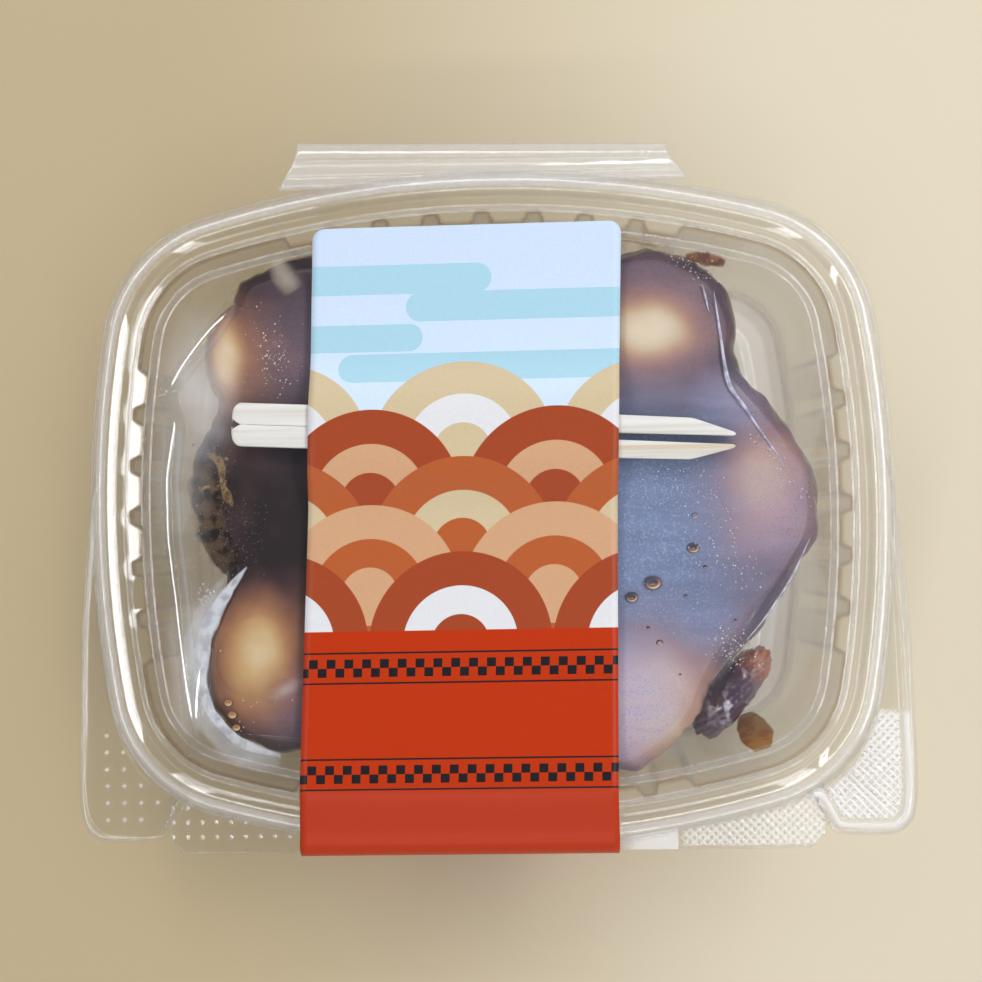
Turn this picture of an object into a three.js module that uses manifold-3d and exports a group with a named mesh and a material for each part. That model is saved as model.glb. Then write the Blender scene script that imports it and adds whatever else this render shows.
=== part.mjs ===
// A clear hinged deli pack of mitarashi dango: round rice dumplings set in brown soy glaze, shut under a
// domed lid, with a wooden two-pronged fork held on the lid by a wrap-round paper label.
// Millimetres. +X is to the right, +Y towards the hinge, +Z up. The pieces are placed about the middle of
// the rim, and the whole is then moved so that the origin is on the table, under the middle of the box
// that bounds it.
import * as THREE from "three";
import { mergeVertices } from "three/addons/utils/BufferGeometryUtils.js";
import Module from "manifold-3d";

const wasm = await Module();
wasm.setup();

// ---- Driving dimensions ----

// The rim's outline has four bowed sides and smooth corners. Every ring of the pack is this outline,
// inset by some distance.
const RIM_HALF_WIDTH = 73.5;
const RIM_HALF_DEPTH = 62.1;
const SIDE_RADIUS = 203; // of the bowed left and right sides
const END_RADIUS = 190; // of the bowed back and front
const CORNER_RADIUS = 26.2;
const SHEET = 0.5; // formed plastic sheet
const CLEARANCE = 0.3; // between pieces that touch
const FLANGE_Z = 24; // underside of the base's flange
const LID_RISE = 0.9; // underside of the lid's flange above that of the base
const PANEL_RISE = 7.5; // top of the lid's flat panel above the underside of the base's flange
const PANEL_INSET = 12;
const PANEL_TOP = FLANGE_Z + PANEL_RISE;

// Flutes: the base's wall is tucked in at an even pitch along the four sides, and smooth at the corners.
const FLUTE_PITCH = 9.9;
const FLUTE_DEPTH = 2.5;
const FLUTE_FLAT = 4.8; // length of a tuck's inner flat
const FLUTE_SLOPE = 1.5; // length of each of its slopes, along the wall
const SIDE_TUCKS = 6;
const END_TUCKS = 8;

// Flange: corner tabs to pull the pack open, a front lip, and the hinge strip at the back.
const TAB_EDGE = [
  [73.6, 6],
  [76, -20],
  [76.9, -50],
];
const TAB_FRONT = -60.2;
const TAB_RADIUS = 8.6;
const TAB_INNER = 61;
const LIP_HALF_SPAN = 60;
const LIP_FRONT = -62.5;
const LIP_RADIUS = 1.5;
const HINGE_HALF_SPAN = 34;
const HINGE_ROOT_HALF_SPAN = 37.6;
const HINGE_BACK = 67.6;

// Label: a paper strap from the back of the panel, over the front and under the base.
const PAPER = 0.2;
const LABEL_HALF_WIDTH = 27.7;
const LABEL_FLARE = 1.4; // how much wider each side is at the front fold
const LABEL_BACK = 51.2;
const LABEL_TAIL = 22; // where the strap ends under the base
const LABEL_SHIFT = -2.5; // its centre line at the back end
const LABEL_SKEW = 0.034; // sideways drift for each millimetre towards the front
const LABEL_CORNER = 2.2;

// Fork: one flat stick, slit from one end into two pointed prongs.
const FORK_LENGTH = 90;
const FORK_WIDTH = 7.8;
const FORK_THICK = 1.8;
const FORK_SLIT = 62; // length of the slit
const FORK_GAP = 1.4; // between the prongs at the points
const FORK_POINT = 7.5; // length of the pointed ends
const FORK_AT = [-0.4, 13.9];
const FORK_TURN = THREE.MathUtils.degToRad(-3.1);

// Dumplings: middle, radius and height of each. Soft balls, a little flat where the lid presses them.
const FLOOR_Z = 1.8; // top of the base's raised floor
const DUMPLINGS = [
  { x: -38.5, y: 28.5, radius: 14.2, height: 28.6 },
  { x: -5.0, y: 31.0, radius: 14.6, height: 28.7 },
  { x: 30.5, y: 31.4, radius: 14.6, height: 28.8 },
  { x: -41.8, y: -1.0, radius: 13.4, height: 28.4 },
  { x: -12.8, y: 0.6, radius: 14.0, height: 28.6 },
  { x: 16.6, y: -0.4, radius: 14.2, height: 28.5 },
  { x: 46.4, y: 1.7, radius: 14.4, height: 28.8 },
  { x: -37.5, y: -29.7, radius: 14.6, height: 28.8 },
  { x: -5.6, y: -31.4, radius: 14.2, height: 28.6 },
  { x: 25.6, y: -32.8, radius: 13.8, height: 28.8 },
];
const DUMPLING_POWER = 0.85; // below 1 gives a fuller side and flatter ends
const SAUCE_BLEND = 3; // how widely the sauce bridges between neighbours
const SAUCE_COAT = 1.4; // how far it stands out from the dumplings
const LUMP = { x: 46.3, y: -35.6, long: 8.2, wide: 3.4, high: 3.8, turn: 51 };

// ---- Solids ----

/** A manifold-3d solid from a closed three.js geometry. */
function solidOf(geometry) {
  const bare = geometry.clone();
  bare.deleteAttribute("normal");
  bare.deleteAttribute("uv");
  const merged = mergeVertices(bare, 1e-4);
  return new wasm.Manifold(
    new wasm.Mesh({
      numProp: 3,
      vertProperties: merged.attributes.position.array,
      triVerts: new Uint32Array(merged.index.array),
    }),
  );
}

/** A three.js geometry from a manifold-3d solid. */
function geometryOf(solid) {
  const mesh = solid.getMesh();
  const geometry = new THREE.BufferGeometry();
  geometry.setAttribute("position", new THREE.BufferAttribute(mesh.vertProperties, 3));
  geometry.setIndex(new THREE.BufferAttribute(mesh.triVerts, 1));
  const flat = geometry.toNonIndexed();
  flat.computeVertexNormals();
  return flat;
}

/** The largest of the bodies that a cut leaves. */
function largestBody(solid) {
  return solid.decompose().reduce((a, b) => (b.volume() > a.volume() ? b : a));
}

/** A closed skin through rings of equal count, each going anticlockwise seen from above, from the ring
 *  at the middle of the underside, out, up and back to the middle of the top. */
function loft(rings) {
  const count = rings[0].length;
  const points = rings.flat();
  const faces = [];
  for (let ring = 0; ring < rings.length - 1; ring++) {
    for (let j = 0; j < count; j++) {
      const a = ring * count + j;
      const b = ring * count + ((j + 1) % count);
      faces.push(a, b, b + count, a, b + count, a + count);
    }
  }
  const middle = (ring) =>
    ring.reduce((sum, p) => sum.add(p), new THREE.Vector3()).divideScalar(count);
  const bottom = points.length;
  const top = bottom + 1;
  points.push(middle(rings[0]), middle(rings[rings.length - 1]));
  const last = (rings.length - 1) * count;
  for (let j = 0; j < count; j++) {
    const next = (j + 1) % count;
    faces.push(bottom, next, j, top, last + j, last + next);
  }
  const geometry = new THREE.BufferGeometry().setFromPoints(points);
  geometry.setIndex(faces);
  return geometry;
}

/** A closed skin through rings that follow a section round an opening, the last joined to the first. */
function band(rings) {
  const count = rings[0].length;
  const faces = [];
  for (let ring = 0; ring < rings.length; ring++) {
    const here = ring * count;
    const after = ((ring + 1) % rings.length) * count;
    for (let j = 0; j < count; j++) {
      const next = (j + 1) % count;
      faces.push(here + j, here + next, after + next, here + j, after + next, after + j);
    }
  }
  const geometry = new THREE.BufferGeometry().setFromPoints(rings.flat());
  geometry.setIndex(faces);
  return geometry;
}

// ---- The pack's outline ----

/** The middle of a corner's arc, which runs smoothly into a bowed side and a bowed end. */
function cornerMiddle() {
  const side = new THREE.Vector2(RIM_HALF_WIDTH - SIDE_RADIUS, 0);
  const end = new THREE.Vector2(0, RIM_HALF_DEPTH - END_RADIUS);
  const toSide = SIDE_RADIUS - CORNER_RADIUS;
  const toEnd = END_RADIUS - CORNER_RADIUS;
  const span = side.distanceTo(end);
  const along = (toSide ** 2 - toEnd ** 2 + span ** 2) / (2 * span);
  const across = Math.sqrt(toSide ** 2 - along ** 2);
  const way = end.clone().sub(side).normalize();
  return new THREE.Vector2(
    side.x + way.x * along - way.y * across,
    side.y + way.y * along + way.x * across,
  );
}

/** The outline's eight arcs, anticlockwise: each side or end, with the corner that follows it. */
function rimArcs() {
  const corner = cornerMiddle();
  const sideTurn = Math.atan2(corner.y, corner.x - RIM_HALF_WIDTH + SIDE_RADIUS);
  const endTurn = Math.atan2(corner.x, corner.y - RIM_HALF_DEPTH + END_RADIUS);
  const arcs = [];
  for (let k = 0; k < 4; k++) {
    const middle = (k * Math.PI) / 2;
    const onSide = k % 2 === 0;
    const radius = onSide ? SIDE_RADIUS : END_RADIUS;
    const turn = onSide ? sideTurn : endTurn;
    const shift = (onSide ? RIM_HALF_WIDTH : RIM_HALF_DEPTH) - radius;
    const x = Math.round(Math.cos(middle)) * shift;
    const y = Math.round(Math.sin(middle)) * shift;
    arcs.push({ x, y, radius, from: middle - turn, to: middle + turn, bowed: true, onSide });
    const signX = k === 0 || k === 3 ? 1 : -1;
    const signY = k < 2 ? 1 : -1;
    const next = onSide ? endTurn : sideTurn;
    arcs.push({
      x: signX * corner.x,
      y: signY * corner.y,
      radius: CORNER_RADIUS,
      from: middle + turn,
      to: middle + Math.PI / 2 - next,
      bowed: false,
    });
  }
  return arcs;
}

/** Stations at even steps along every arc: so many on each bowed one, and so many on each corner. */
function evenStations(onBowed, onCorner) {
  return rimArcs().flatMap((arc) => {
    const steps = arc.bowed ? onBowed : onCorner;
    return Array.from({ length: steps }, (_, k) => ({
      arc,
      angle: arc.from + ((arc.to - arc.from) * k) / steps,
      tuck: 0,
    }));
  });
}

/** Stations that follow the flutes: four for each tuck, and a few round each smooth corner. */
function flutedStations(onCorner) {
  const offsets = [
    [-FLUTE_FLAT / 2 - FLUTE_SLOPE, 0],
    [-FLUTE_FLAT / 2, 1],
    [FLUTE_FLAT / 2, 1],
    [FLUTE_FLAT / 2 + FLUTE_SLOPE, 0],
  ];
  return rimArcs().flatMap((arc) => {
    if (!arc.bowed) {
      return Array.from({ length: onCorner + 1 }, (_, k) => ({
        arc,
        angle: arc.from + ((arc.to - arc.from) * k) / onCorner,
        tuck: 0,
      }));
    }
    const tucks = arc.onSide ? SIDE_TUCKS : END_TUCKS;
    const middle = (arc.from + arc.to) / 2;
    return Array.from({ length: tucks }, (_, k) =>
      offsets.map(([offset, tuck]) => ({
        arc,
        angle: middle + ((k - (tucks - 1) / 2) * FLUTE_PITCH + offset) / arc.radius,
        tuck,
      })),
    ).flat();
  });
}

/** A ring of the rim's outline at a height, through stations, inset by some distance and a tuck. */
function rimRing(stations, inset, z, depth = 0) {
  return stations.map(({ arc, angle, tuck }) => {
    const radius = arc.radius - inset - depth * tuck;
    return new THREE.Vector3(arc.x + radius * Math.cos(angle), arc.y + radius * Math.sin(angle), z);
  });
}

/** A plate of the rim outline, grown by some distance, with the bowl's opening left out of it. */
function rimPlate(outset, holeInset, z) {
  const stations = evenStations(8, 8);
  const flat = (ring) => ring.map((p) => new THREE.Vector2(p.x, p.y));
  const shape = new THREE.Shape(flat(rimRing(stations, -outset, 0)));
  shape.holes.push(new THREE.Path(flat(rimRing(stations, holeInset, 0))));
  return plate(shape, z);
}

/** A sheet-thick plate of a shape, with its underside at a height. */
function plate(shape, z) {
  const geometry = new THREE.ExtrudeGeometry(shape, {
    depth: SHEET,
    bevelEnabled: false,
    curveSegments: 8,
  });
  return solidOf(geometry.translate(0, 0, z));
}

// ---- Container ----

/** The base's bowl: ledge, fluted wall, foot ring and raised floor. */
function baseBowl() {
  const stations = flutedStations(4);
  const ring = (inset, rise, depth) => rimRing(stations, inset, FLANGE_Z + rise, depth);
  const under = [
    ring(21.4, -22.7),
    ring(19.6, -23.75),
    ring(16.6, -23.75),
    ring(14.3, -22.4),
    ring(7.1, 0, FLUTE_DEPTH),
    ring(3.7, 0),
  ];
  const over = [
    ring(3.7, SHEET),
    ring(7.6, SHEET, FLUTE_DEPTH),
    ring(14.8, -22.2),
    ring(16.8, -23.25),
    ring(19.3, -23.25),
    ring(21.2, -22.2),
  ];
  return solidOf(loft([...under, ...over]));
}

/** The base's bead, which the lid's bead snaps over: an arch in section, all round the rim. */
function baseBead() {
  const stations = evenStations(8, 8);
  const section = [
    [4.1, 0],
    [3.3, 1.8],
    [2.3, 1.8],
    [1.4, 0],
    [0.8, 0],
    [0.8, SHEET],
    [1.2, SHEET],
    [2.1, 2.3],
    [3.6, 2.3],
    [4.3, SHEET],
  ];
  return solidOf(band(section.map(([inset, rise]) => rimRing(stations, inset, FLANGE_Z + rise))));
}

/** The lid's dome: bead over the base's, gutter, wall, shoulder, step and flat panel. */
function lidDome() {
  const stations = evenStations(7, 7);
  const ring = ([inset, rise]) => rimRing(stations, inset, FLANGE_Z + rise);
  const over = [
    [0, 1.4],
    [0.7, 2.8],
    [1.4, 3.3],
    [3.8, 3.3],
    [5.2, 1.5],
    [6.3, 1.5],
    [7.5, 5.4],
    [11, 6.1],
    [PANEL_INSET, PANEL_RISE],
  ];
  const under = [
    [12.2, 7.0],
    [11.3, 5.6],
    [7.9, 4.9],
    [6.7, 1.0],
    [4.9, 1.0],
    [3.6, 2.8],
    [1.6, 2.8],
    [0.5, LID_RISE],
  ];
  return solidOf(loft([...under.map(ring), ...over.map(ring)]));
}

/** A front corner tab on one side: down the side, round the corner and back in to the rim. */
function cornerTab(side, z) {
  const shape = new THREE.Shape();
  const edge = TAB_EDGE.map(([x, y]) => [side * x, y]);
  const [outer] = edge[edge.length - 1];
  shape.moveTo(side * (RIM_HALF_WIDTH - 4), TAB_EDGE[0][1]);
  edge.forEach(([x, y]) => shape.lineTo(x, y));
  shape.bezierCurveTo(outer, TAB_FRONT + 3, outer - side * 3, TAB_FRONT, outer - side * TAB_RADIUS, TAB_FRONT);
  shape.lineTo(side * (TAB_INNER + 2), TAB_FRONT + 0.3);
  shape.quadraticCurveTo(side * TAB_INNER, TAB_FRONT + 0.5, side * (TAB_INNER - 1.5), TAB_FRONT + 3.5);
  shape.lineTo(side * (TAB_INNER - 6), TAB_FRONT + 9);
  return plate(shape, z);
}

/** The lip along the base's front edge, between the corner tabs. */
function frontLip() {
  const shape = new THREE.Shape();
  const half = LIP_HALF_SPAN;
  shape.moveTo(-half + 10, LIP_FRONT + 15);
  shape.lineTo(-half, LIP_FRONT + 10);
  shape.lineTo(-half, LIP_FRONT + LIP_RADIUS);
  shape.lineTo(-half + LIP_RADIUS, LIP_FRONT);
  shape.lineTo(half - LIP_RADIUS, LIP_FRONT);
  shape.lineTo(half, LIP_FRONT + LIP_RADIUS);
  shape.lineTo(half, LIP_FRONT + 10);
  shape.lineTo(half - 10, LIP_FRONT + 15);
  return plate(shape, FLANGE_Z);
}

/** Room for the bowl or the dome, taken out of the plates laid round the rim. */
function insideRim(inset) {
  const ring = (z) => rimRing(evenStations(8, 8), inset, z);
  return solidOf(loft([ring(FLANGE_Z - 5), ring(FLANGE_Z + 5)]));
}

/** The hinge: the two flanges run back, rise in a stiffening ridge, and fold into each other. */
function hinge() {
  const root = RIM_HALF_DEPTH - 1.2;
  const low = FLANGE_Z;
  const high = FLANGE_Z + LID_RISE + SHEET;
  const foldRadius = (high - low) / 2;
  const foldY = HINGE_BACK - foldRadius;
  const foldZ = low + foldRadius;
  const section = new THREE.Shape();
  section.moveTo(root, low);
  section.lineTo(foldY, low);
  section.absarc(foldY, foldZ, foldRadius, -Math.PI / 2, Math.PI / 2, false);
  section.lineTo(65.6, high);
  section.lineTo(65, high + 1);
  section.lineTo(63.8, high + 1);
  section.lineTo(63.2, high);
  section.lineTo(root, high);
  section.lineTo(root, high - SHEET);
  section.lineTo(63.5, high - SHEET);
  section.lineTo(64.1, high + 1 - SHEET);
  section.lineTo(64.7, high + 1 - SHEET);
  section.lineTo(65.3, high - SHEET);
  section.lineTo(foldY, high - SHEET);
  section.absarc(foldY, foldZ, foldRadius - SHEET, Math.PI / 2, -Math.PI / 2, true);
  section.lineTo(root, low + SHEET);
  const strip = new THREE.ExtrudeGeometry(section, {
    depth: 2 * HINGE_ROOT_HALF_SPAN,
    bevelEnabled: false,
    curveSegments: 5,
  });
  // The section's x is the pack's y, its y is up, and its length runs across.
  strip.applyMatrix4(
    new THREE.Matrix4().makeBasis(
      new THREE.Vector3(0, 1, 0),
      new THREE.Vector3(0, 0, 1),
      new THREE.Vector3(1, 0, 0),
    ),
  );
  strip.translate(-HINGE_ROOT_HALF_SPAN, 0, 0);
  const plan = new THREE.Shape();
  plan.moveTo(-HINGE_ROOT_HALF_SPAN, root - 6);
  plan.lineTo(HINGE_ROOT_HALF_SPAN, root - 6);
  plan.lineTo(HINGE_ROOT_HALF_SPAN, root - 2);
  plan.lineTo(HINGE_HALF_SPAN, HINGE_BACK - 3);
  plan.lineTo(HINGE_HALF_SPAN, HINGE_BACK + 1);
  plan.lineTo(-HINGE_HALF_SPAN, HINGE_BACK + 1);
  plan.lineTo(-HINGE_HALF_SPAN, HINGE_BACK - 3);
  plan.lineTo(-HINGE_ROOT_HALF_SPAN, root - 2);
  const column = new THREE.ExtrudeGeometry(plan, { depth: 10, bevelEnabled: false });
  column.translate(0, 0, FLANGE_Z - 3);
  return solidOf(strip).intersect(solidOf(column));
}

/** The whole container, formed from one sheet: base and lid, joined only at the hinge. */
function container() {
  const lidZ = FLANGE_Z + LID_RISE;
  const baseFlange = rimPlate(0.3, 1.2, FLANGE_Z)
    .add(cornerTab(-1, FLANGE_Z))
    .add(cornerTab(1, FLANGE_Z))
    .add(frontLip())
    .subtract(insideRim(1.2));
  const lidFlange = rimPlate(0.3, 0.6, lidZ)
    .add(cornerTab(-1, lidZ))
    .add(cornerTab(1, lidZ))
    .subtract(insideRim(0.6));
  return [baseBead(), baseFlange, lidDome(), lidFlange, hinge()].reduce(
    (whole, part) => whole.add(part),
    baseBowl(),
  );
}

// ---- Food ----

/** Rings of one dumpling, grown by some distance: a soft ball with flattened ends. */
function dumplingRings({ x, y, radius, height }, grow, around, levels) {
  const middle = FLOOR_Z + CLEARANCE + height / 2;
  const rings = [];
  for (let level = 0; level < levels; level++) {
    const tilt = ((level + 0.5) / levels - 0.5) * Math.PI;
    const reach = (radius + grow) * Math.cos(tilt) ** DUMPLING_POWER;
    const lift = Math.sign(tilt) * (height / 2 + grow) * Math.abs(Math.sin(tilt));
    rings.push(
      Array.from({ length: around }, (_, k) => {
        const angle = (2 * Math.PI * (k + (level % 2) / 2)) / around;
        return new THREE.Vector3(x + reach * Math.cos(angle), y + reach * Math.sin(angle), middle + lift);
      }),
    );
  }
  return rings;
}

/** Signed distance from the sauce's bridged outline: a smooth union of the dumplings' circles. */
function sauceDistance(x, y) {
  const sum = DUMPLINGS.reduce((total, d) => {
    const distance = Math.hypot(x - d.x, y - d.y) - d.radius;
    return total + Math.exp(-distance / SAUCE_BLEND);
  }, 0);
  return -SAUCE_BLEND * Math.log(sum) - SAUCE_COAT;
}

/** The outermost distance from the middle at which the sauce ends, in a direction. */
function sauceRadius(angle) {
  let radius = RIM_HALF_WIDTH;
  while (sauceDistance(radius * Math.cos(angle), radius * Math.sin(angle)) > 0) radius -= 0.25;
  return radius;
}

/** The room inside the shut pack, clear of its floor, its tucked wall and its lid. */
function packRoom() {
  const stations = evenStations(6, 6);
  const section = [
    [21, FLOOR_Z + CLEARANCE],
    [15.6, FLOOR_Z + CLEARANCE],
    [10.8, FLANGE_Z],
    [12.8, PANEL_TOP - SHEET - CLEARANCE],
  ];
  return solidOf(loft(section.map(([inset, z]) => rimRing(stations, inset, z))));
}

/** The sauce: a thick blanket pressed flat by the lid, set round the dumplings, whose tops show. */
function sauce() {
  const around = 40;
  const profile = [
    [0.955, FLOOR_Z + CLEARANCE],
    [0.985, 8],
    [0.99, 17],
    [0.97, 24],
    [0.92, 28],
    [0.84, 29.6],
  ];
  const rings = profile.map(([share, z]) =>
    Array.from({ length: around }, (_, k) => {
      const angle = (2 * Math.PI * k) / around;
      const radius = share * sauceRadius(angle);
      return new THREE.Vector3(radius * Math.cos(angle), radius * Math.sin(angle), z);
    }),
  );
  let solid = solidOf(loft(rings)).intersect(packRoom());
  for (const dumpling of DUMPLINGS) {
    solid = solid.subtract(solidOf(loft(dumplingRings(dumpling, CLEARANCE, 12, 6))));
  }
  return largestBody(solid.subtract(lump(CLEARANCE)));
}

/** The lump of sauce that has set on the floor in the front right corner. */
function lump(grow) {
  const ball = new THREE.SphereGeometry(1, 12, 8);
  ball.scale(LUMP.long + grow, LUMP.wide + grow, LUMP.high + grow);
  ball.rotateZ(THREE.MathUtils.degToRad(LUMP.turn));
  ball.translate(LUMP.x, LUMP.y, FLOOR_Z + CLEARANCE + LUMP.high);
  return solidOf(ball);
}

// ---- Fork and label ----

/** The fork's outline: two lobes at the joined end, and two points at the slit one. */
function fork() {
  const half = FORK_WIDTH / 2;
  const left = -FORK_LENGTH / 2;
  const right = FORK_LENGTH / 2;
  const shape = new THREE.Shape();
  shape.moveTo(left + 1.6, -half);
  shape.lineTo(right - FORK_POINT, -half);
  shape.lineTo(right - 0.4, -FORK_GAP / 2 - 0.9);
  shape.lineTo(right, -FORK_GAP / 2 - 0.3);
  shape.lineTo(right - 0.6, -FORK_GAP / 2);
  shape.lineTo(right - FORK_SLIT, -0.2);
  shape.lineTo(right - FORK_SLIT, 0.2);
  shape.lineTo(right - 0.6, FORK_GAP / 2);
  shape.lineTo(right, FORK_GAP / 2 + 0.3);
  shape.lineTo(right - 0.4, FORK_GAP / 2 + 0.9);
  shape.lineTo(right - FORK_POINT, half);
  shape.lineTo(left + 1.6, half);
  shape.quadraticCurveTo(left, half, left, half / 2);
  shape.quadraticCurveTo(left, 0.4, left + 1.1, 0);
  shape.quadraticCurveTo(left, -0.4, left, -half / 2);
  shape.quadraticCurveTo(left, -half, left + 1.6, -half);
  return new THREE.ExtrudeGeometry(shape, {
    depth: FORK_THICK,
    bevelEnabled: false,
    curveSegments: 5,
  });
}

/** The label's path, seen from the side, along its under surface: [y, z, how much narrower]. */
function labelPath() {
  const rest = PANEL_TOP + CLEARANCE;
  const overFork = rest + FORK_THICK + CLEARANCE;
  const bead = FLANGE_Z + 3.3 + CLEARANCE;
  const forkBack = FORK_AT[1] + FORK_WIDTH / 2 + 2.6;
  const forkFront = FORK_AT[1] - FORK_WIDTH / 2 - 2.6;
  const panelEdge = -RIM_HALF_DEPTH + PANEL_INSET;
  const edge = LIP_FRONT - CLEARANCE;
  return [
    [LABEL_BACK, rest - 0.1, LABEL_CORNER],
    [LABEL_BACK - LABEL_CORNER * 0.3, rest - 0.05, LABEL_CORNER * 0.3],
    [LABEL_BACK - LABEL_CORNER, rest, 0],
    [forkBack + 6.5, rest, 0],
    [forkBack + 2.5, rest + 1, 0],
    [forkBack, overFork, 0],
    [forkFront, overFork, 0],
    [forkFront - 2.5, rest + 1, 0],
    [forkFront - 6.5, rest, 0],
    [panelEdge + 0.6, rest, -LABEL_FLARE * 0.6],
    [panelEdge - 1.2, rest - 0.5, -LABEL_FLARE * 0.65],
    [-RIM_HALF_DEPTH + 3.6, bead + 0.6, -LABEL_FLARE * 0.9],
    [-RIM_HALF_DEPTH + 1.6, bead + 0.1, -LABEL_FLARE],
    [-RIM_HALF_DEPTH + 0.4, bead - 0.7, -LABEL_FLARE],
    [edge + 0.2, FLANGE_Z + 1.6, -LABEL_FLARE],
    [edge, FLANGE_Z + 0.9, -LABEL_FLARE],
    [edge, FLANGE_Z - 0.1, -LABEL_FLARE],
    [edge + 0.5, FLANGE_Z - 0.8, -LABEL_FLARE],
    [-RIM_HALF_DEPTH + 13.4, 1.5, 0],
    [-RIM_HALF_DEPTH + 14.6, 0.5, 0],
    [-RIM_HALF_DEPTH + 16.4, PAPER, 0],
    [LABEL_TAIL, PAPER, 0],
  ];
}

/** The paper strap: its path, carried across its width, and thickened away from the pack. */
function label() {
  const path = labelPath();
  const outward = path.map((_, k) => {
    const [y0, z0] = path[Math.max(k - 1, 0)];
    const [y1, z1] = path[Math.min(k + 1, path.length - 1)];
    const length = Math.hypot(y1 - y0, z1 - z0);
    return [((z1 - z0) / length) * PAPER, ((y0 - y1) / length) * PAPER];
  });
  const points = [];
  path.forEach(([y, z, narrower], k) => {
    const centre = LABEL_SHIFT - LABEL_SKEW * (LABEL_BACK - y);
    const half = LABEL_HALF_WIDTH - narrower;
    const [outY, outZ] = outward[k];
    points.push(
      new THREE.Vector3(centre - half, y, z),
      new THREE.Vector3(centre + half, y, z),
      new THREE.Vector3(centre + half, y + outY, z + outZ),
      new THREE.Vector3(centre - half, y + outY, z + outZ),
    );
  });
  const faces = [0, 2, 1, 0, 3, 2];
  for (let k = 0; k < path.length - 1; k++) {
    for (let j = 0; j < 4; j++) {
      const a = 4 * k + j;
      const b = 4 * k + ((j + 1) % 4);
      faces.push(a, b + 4, a + 4, a, b, b + 4);
    }
  }
  const end = 4 * (path.length - 1);
  faces.push(end, end + 1, end + 2, end, end + 2, end + 3);
  const geometry = new THREE.BufferGeometry().setFromPoints(points);
  geometry.setIndex(faces);
  return geometry;
}

// ---- The model ----

const CLEAR = new THREE.MeshStandardMaterial({
  color: 0xe9eef0,
  roughness: 0.08,
  transparent: true,
  opacity: 0.3,
});
const RICE = new THREE.MeshStandardMaterial({ color: 0xe6cfa0, roughness: 0.45 });
const GLAZE = new THREE.MeshStandardMaterial({ color: 0x3a1c14, roughness: 0.15 });
const WOOD = new THREE.MeshStandardMaterial({ color: 0xe8dcc2, roughness: 0.7 });
const PRINT = new THREE.MeshStandardMaterial({ color: 0xc9502a, roughness: 0.35 });

/** A named mesh in its place. */
function piece(name, geometry, material) {
  const mesh = new THREE.Mesh(geometry, material);
  mesh.name = name;
  return mesh;
}

const pack = new THREE.Group();
pack.position.y = -(HINGE_BACK + LIP_FRONT - CLEARANCE - PAPER) / 2;
pack.add(piece("container", geometryOf(container()), CLEAR));
DUMPLINGS.forEach((dumpling, k) => {
  pack.add(piece(`dumpling_${k + 1}`, loft(dumplingRings(dumpling, 0, 12, 6)), RICE));
});
pack.add(piece("sauce", geometryOf(sauce()), GLAZE));
pack.add(piece("sauce_lump", geometryOf(lump(0)), GLAZE));
const forkMesh = piece("fork", fork(), WOOD);
forkMesh.position.set(FORK_AT[0], FORK_AT[1], PANEL_TOP + CLEARANCE);
forkMesh.rotation.z = FORK_TURN;
pack.add(forkMesh);
pack.add(piece("label", label(), PRINT));

export default pack;
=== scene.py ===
"""A shut, clear deli pack of mitarashi dango, with its fork and its paper strap.

Sizes are millimetres about the middle of the pack's rim: +X to the right, +Y towards the hinge, +Z up from
the table. to_metres() moves them into the frame's own place and unit.
"""

import logging
import math
from dataclasses import dataclass
from enum import Enum

import bpy
import numpy as np
from bpy.types import ID, Material, Node, Object
from bpy.types import NodeSocket as Socket
from mathutils import Matrix, Vector
from numpy.typing import NDArray


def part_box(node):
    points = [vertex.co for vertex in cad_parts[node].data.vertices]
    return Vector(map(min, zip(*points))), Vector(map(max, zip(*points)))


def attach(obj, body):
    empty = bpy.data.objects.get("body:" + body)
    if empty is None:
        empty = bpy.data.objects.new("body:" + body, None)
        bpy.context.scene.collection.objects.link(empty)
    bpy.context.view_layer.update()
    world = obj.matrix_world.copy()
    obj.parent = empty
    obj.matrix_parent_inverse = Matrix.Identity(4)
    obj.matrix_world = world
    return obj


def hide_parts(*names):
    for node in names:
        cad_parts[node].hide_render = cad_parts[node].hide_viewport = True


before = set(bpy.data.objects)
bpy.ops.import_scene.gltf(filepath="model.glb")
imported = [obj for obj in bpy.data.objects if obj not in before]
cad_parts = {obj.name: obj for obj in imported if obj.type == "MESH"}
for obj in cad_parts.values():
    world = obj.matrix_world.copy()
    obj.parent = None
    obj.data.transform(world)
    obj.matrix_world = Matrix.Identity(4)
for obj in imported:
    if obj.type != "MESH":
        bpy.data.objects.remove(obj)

LOG = logging.getLogger("dango_pack")
Array = NDArray[np.float64]
Mesh = tuple[Array, list[Array]]
Colour = tuple[float, float, float]
Inputs = dict[str | int, object]

# Lengths are millimetres, and the levels are heights over the table.
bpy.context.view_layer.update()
BODY = "root"
MM = 0.001
HINGE_BACK = 67.6
FLANGE_Z = 24.0
FLOOR_Z = 1.8
LID_LEVEL = FLANGE_Z + 1.4
PANEL_TOP = FLANGE_Z + 7.5
SHEET = 0.4
PANEL_UNDER = PANEL_TOP - SHEET
ON_PANEL = PANEL_TOP + 0.3
SEAM = 0.4
KNURL_PITCH = 1.55
KNURL_HEIGHT = 0.3
PRINT_UNIT = 100.0


class Slot(Enum):
    """The record's material slots."""

    PLASTIC = "clear_plastic"
    DOUGH = "rice_dough"
    GLAZE = "soy_glaze"
    WOOD = "bare_wood"
    PAPER = "printed_paper"


class Side(Enum):
    """The pack's left or right, as the sign of its x."""

    LEFT = -1
    RIGHT = 1


class Relief(Enum):
    """What is pressed into a flat part of the flange."""

    PLAIN = "plain"
    KNURL = "knurl"
    DOTS = "dots"


# ---- Working out points ----


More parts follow.
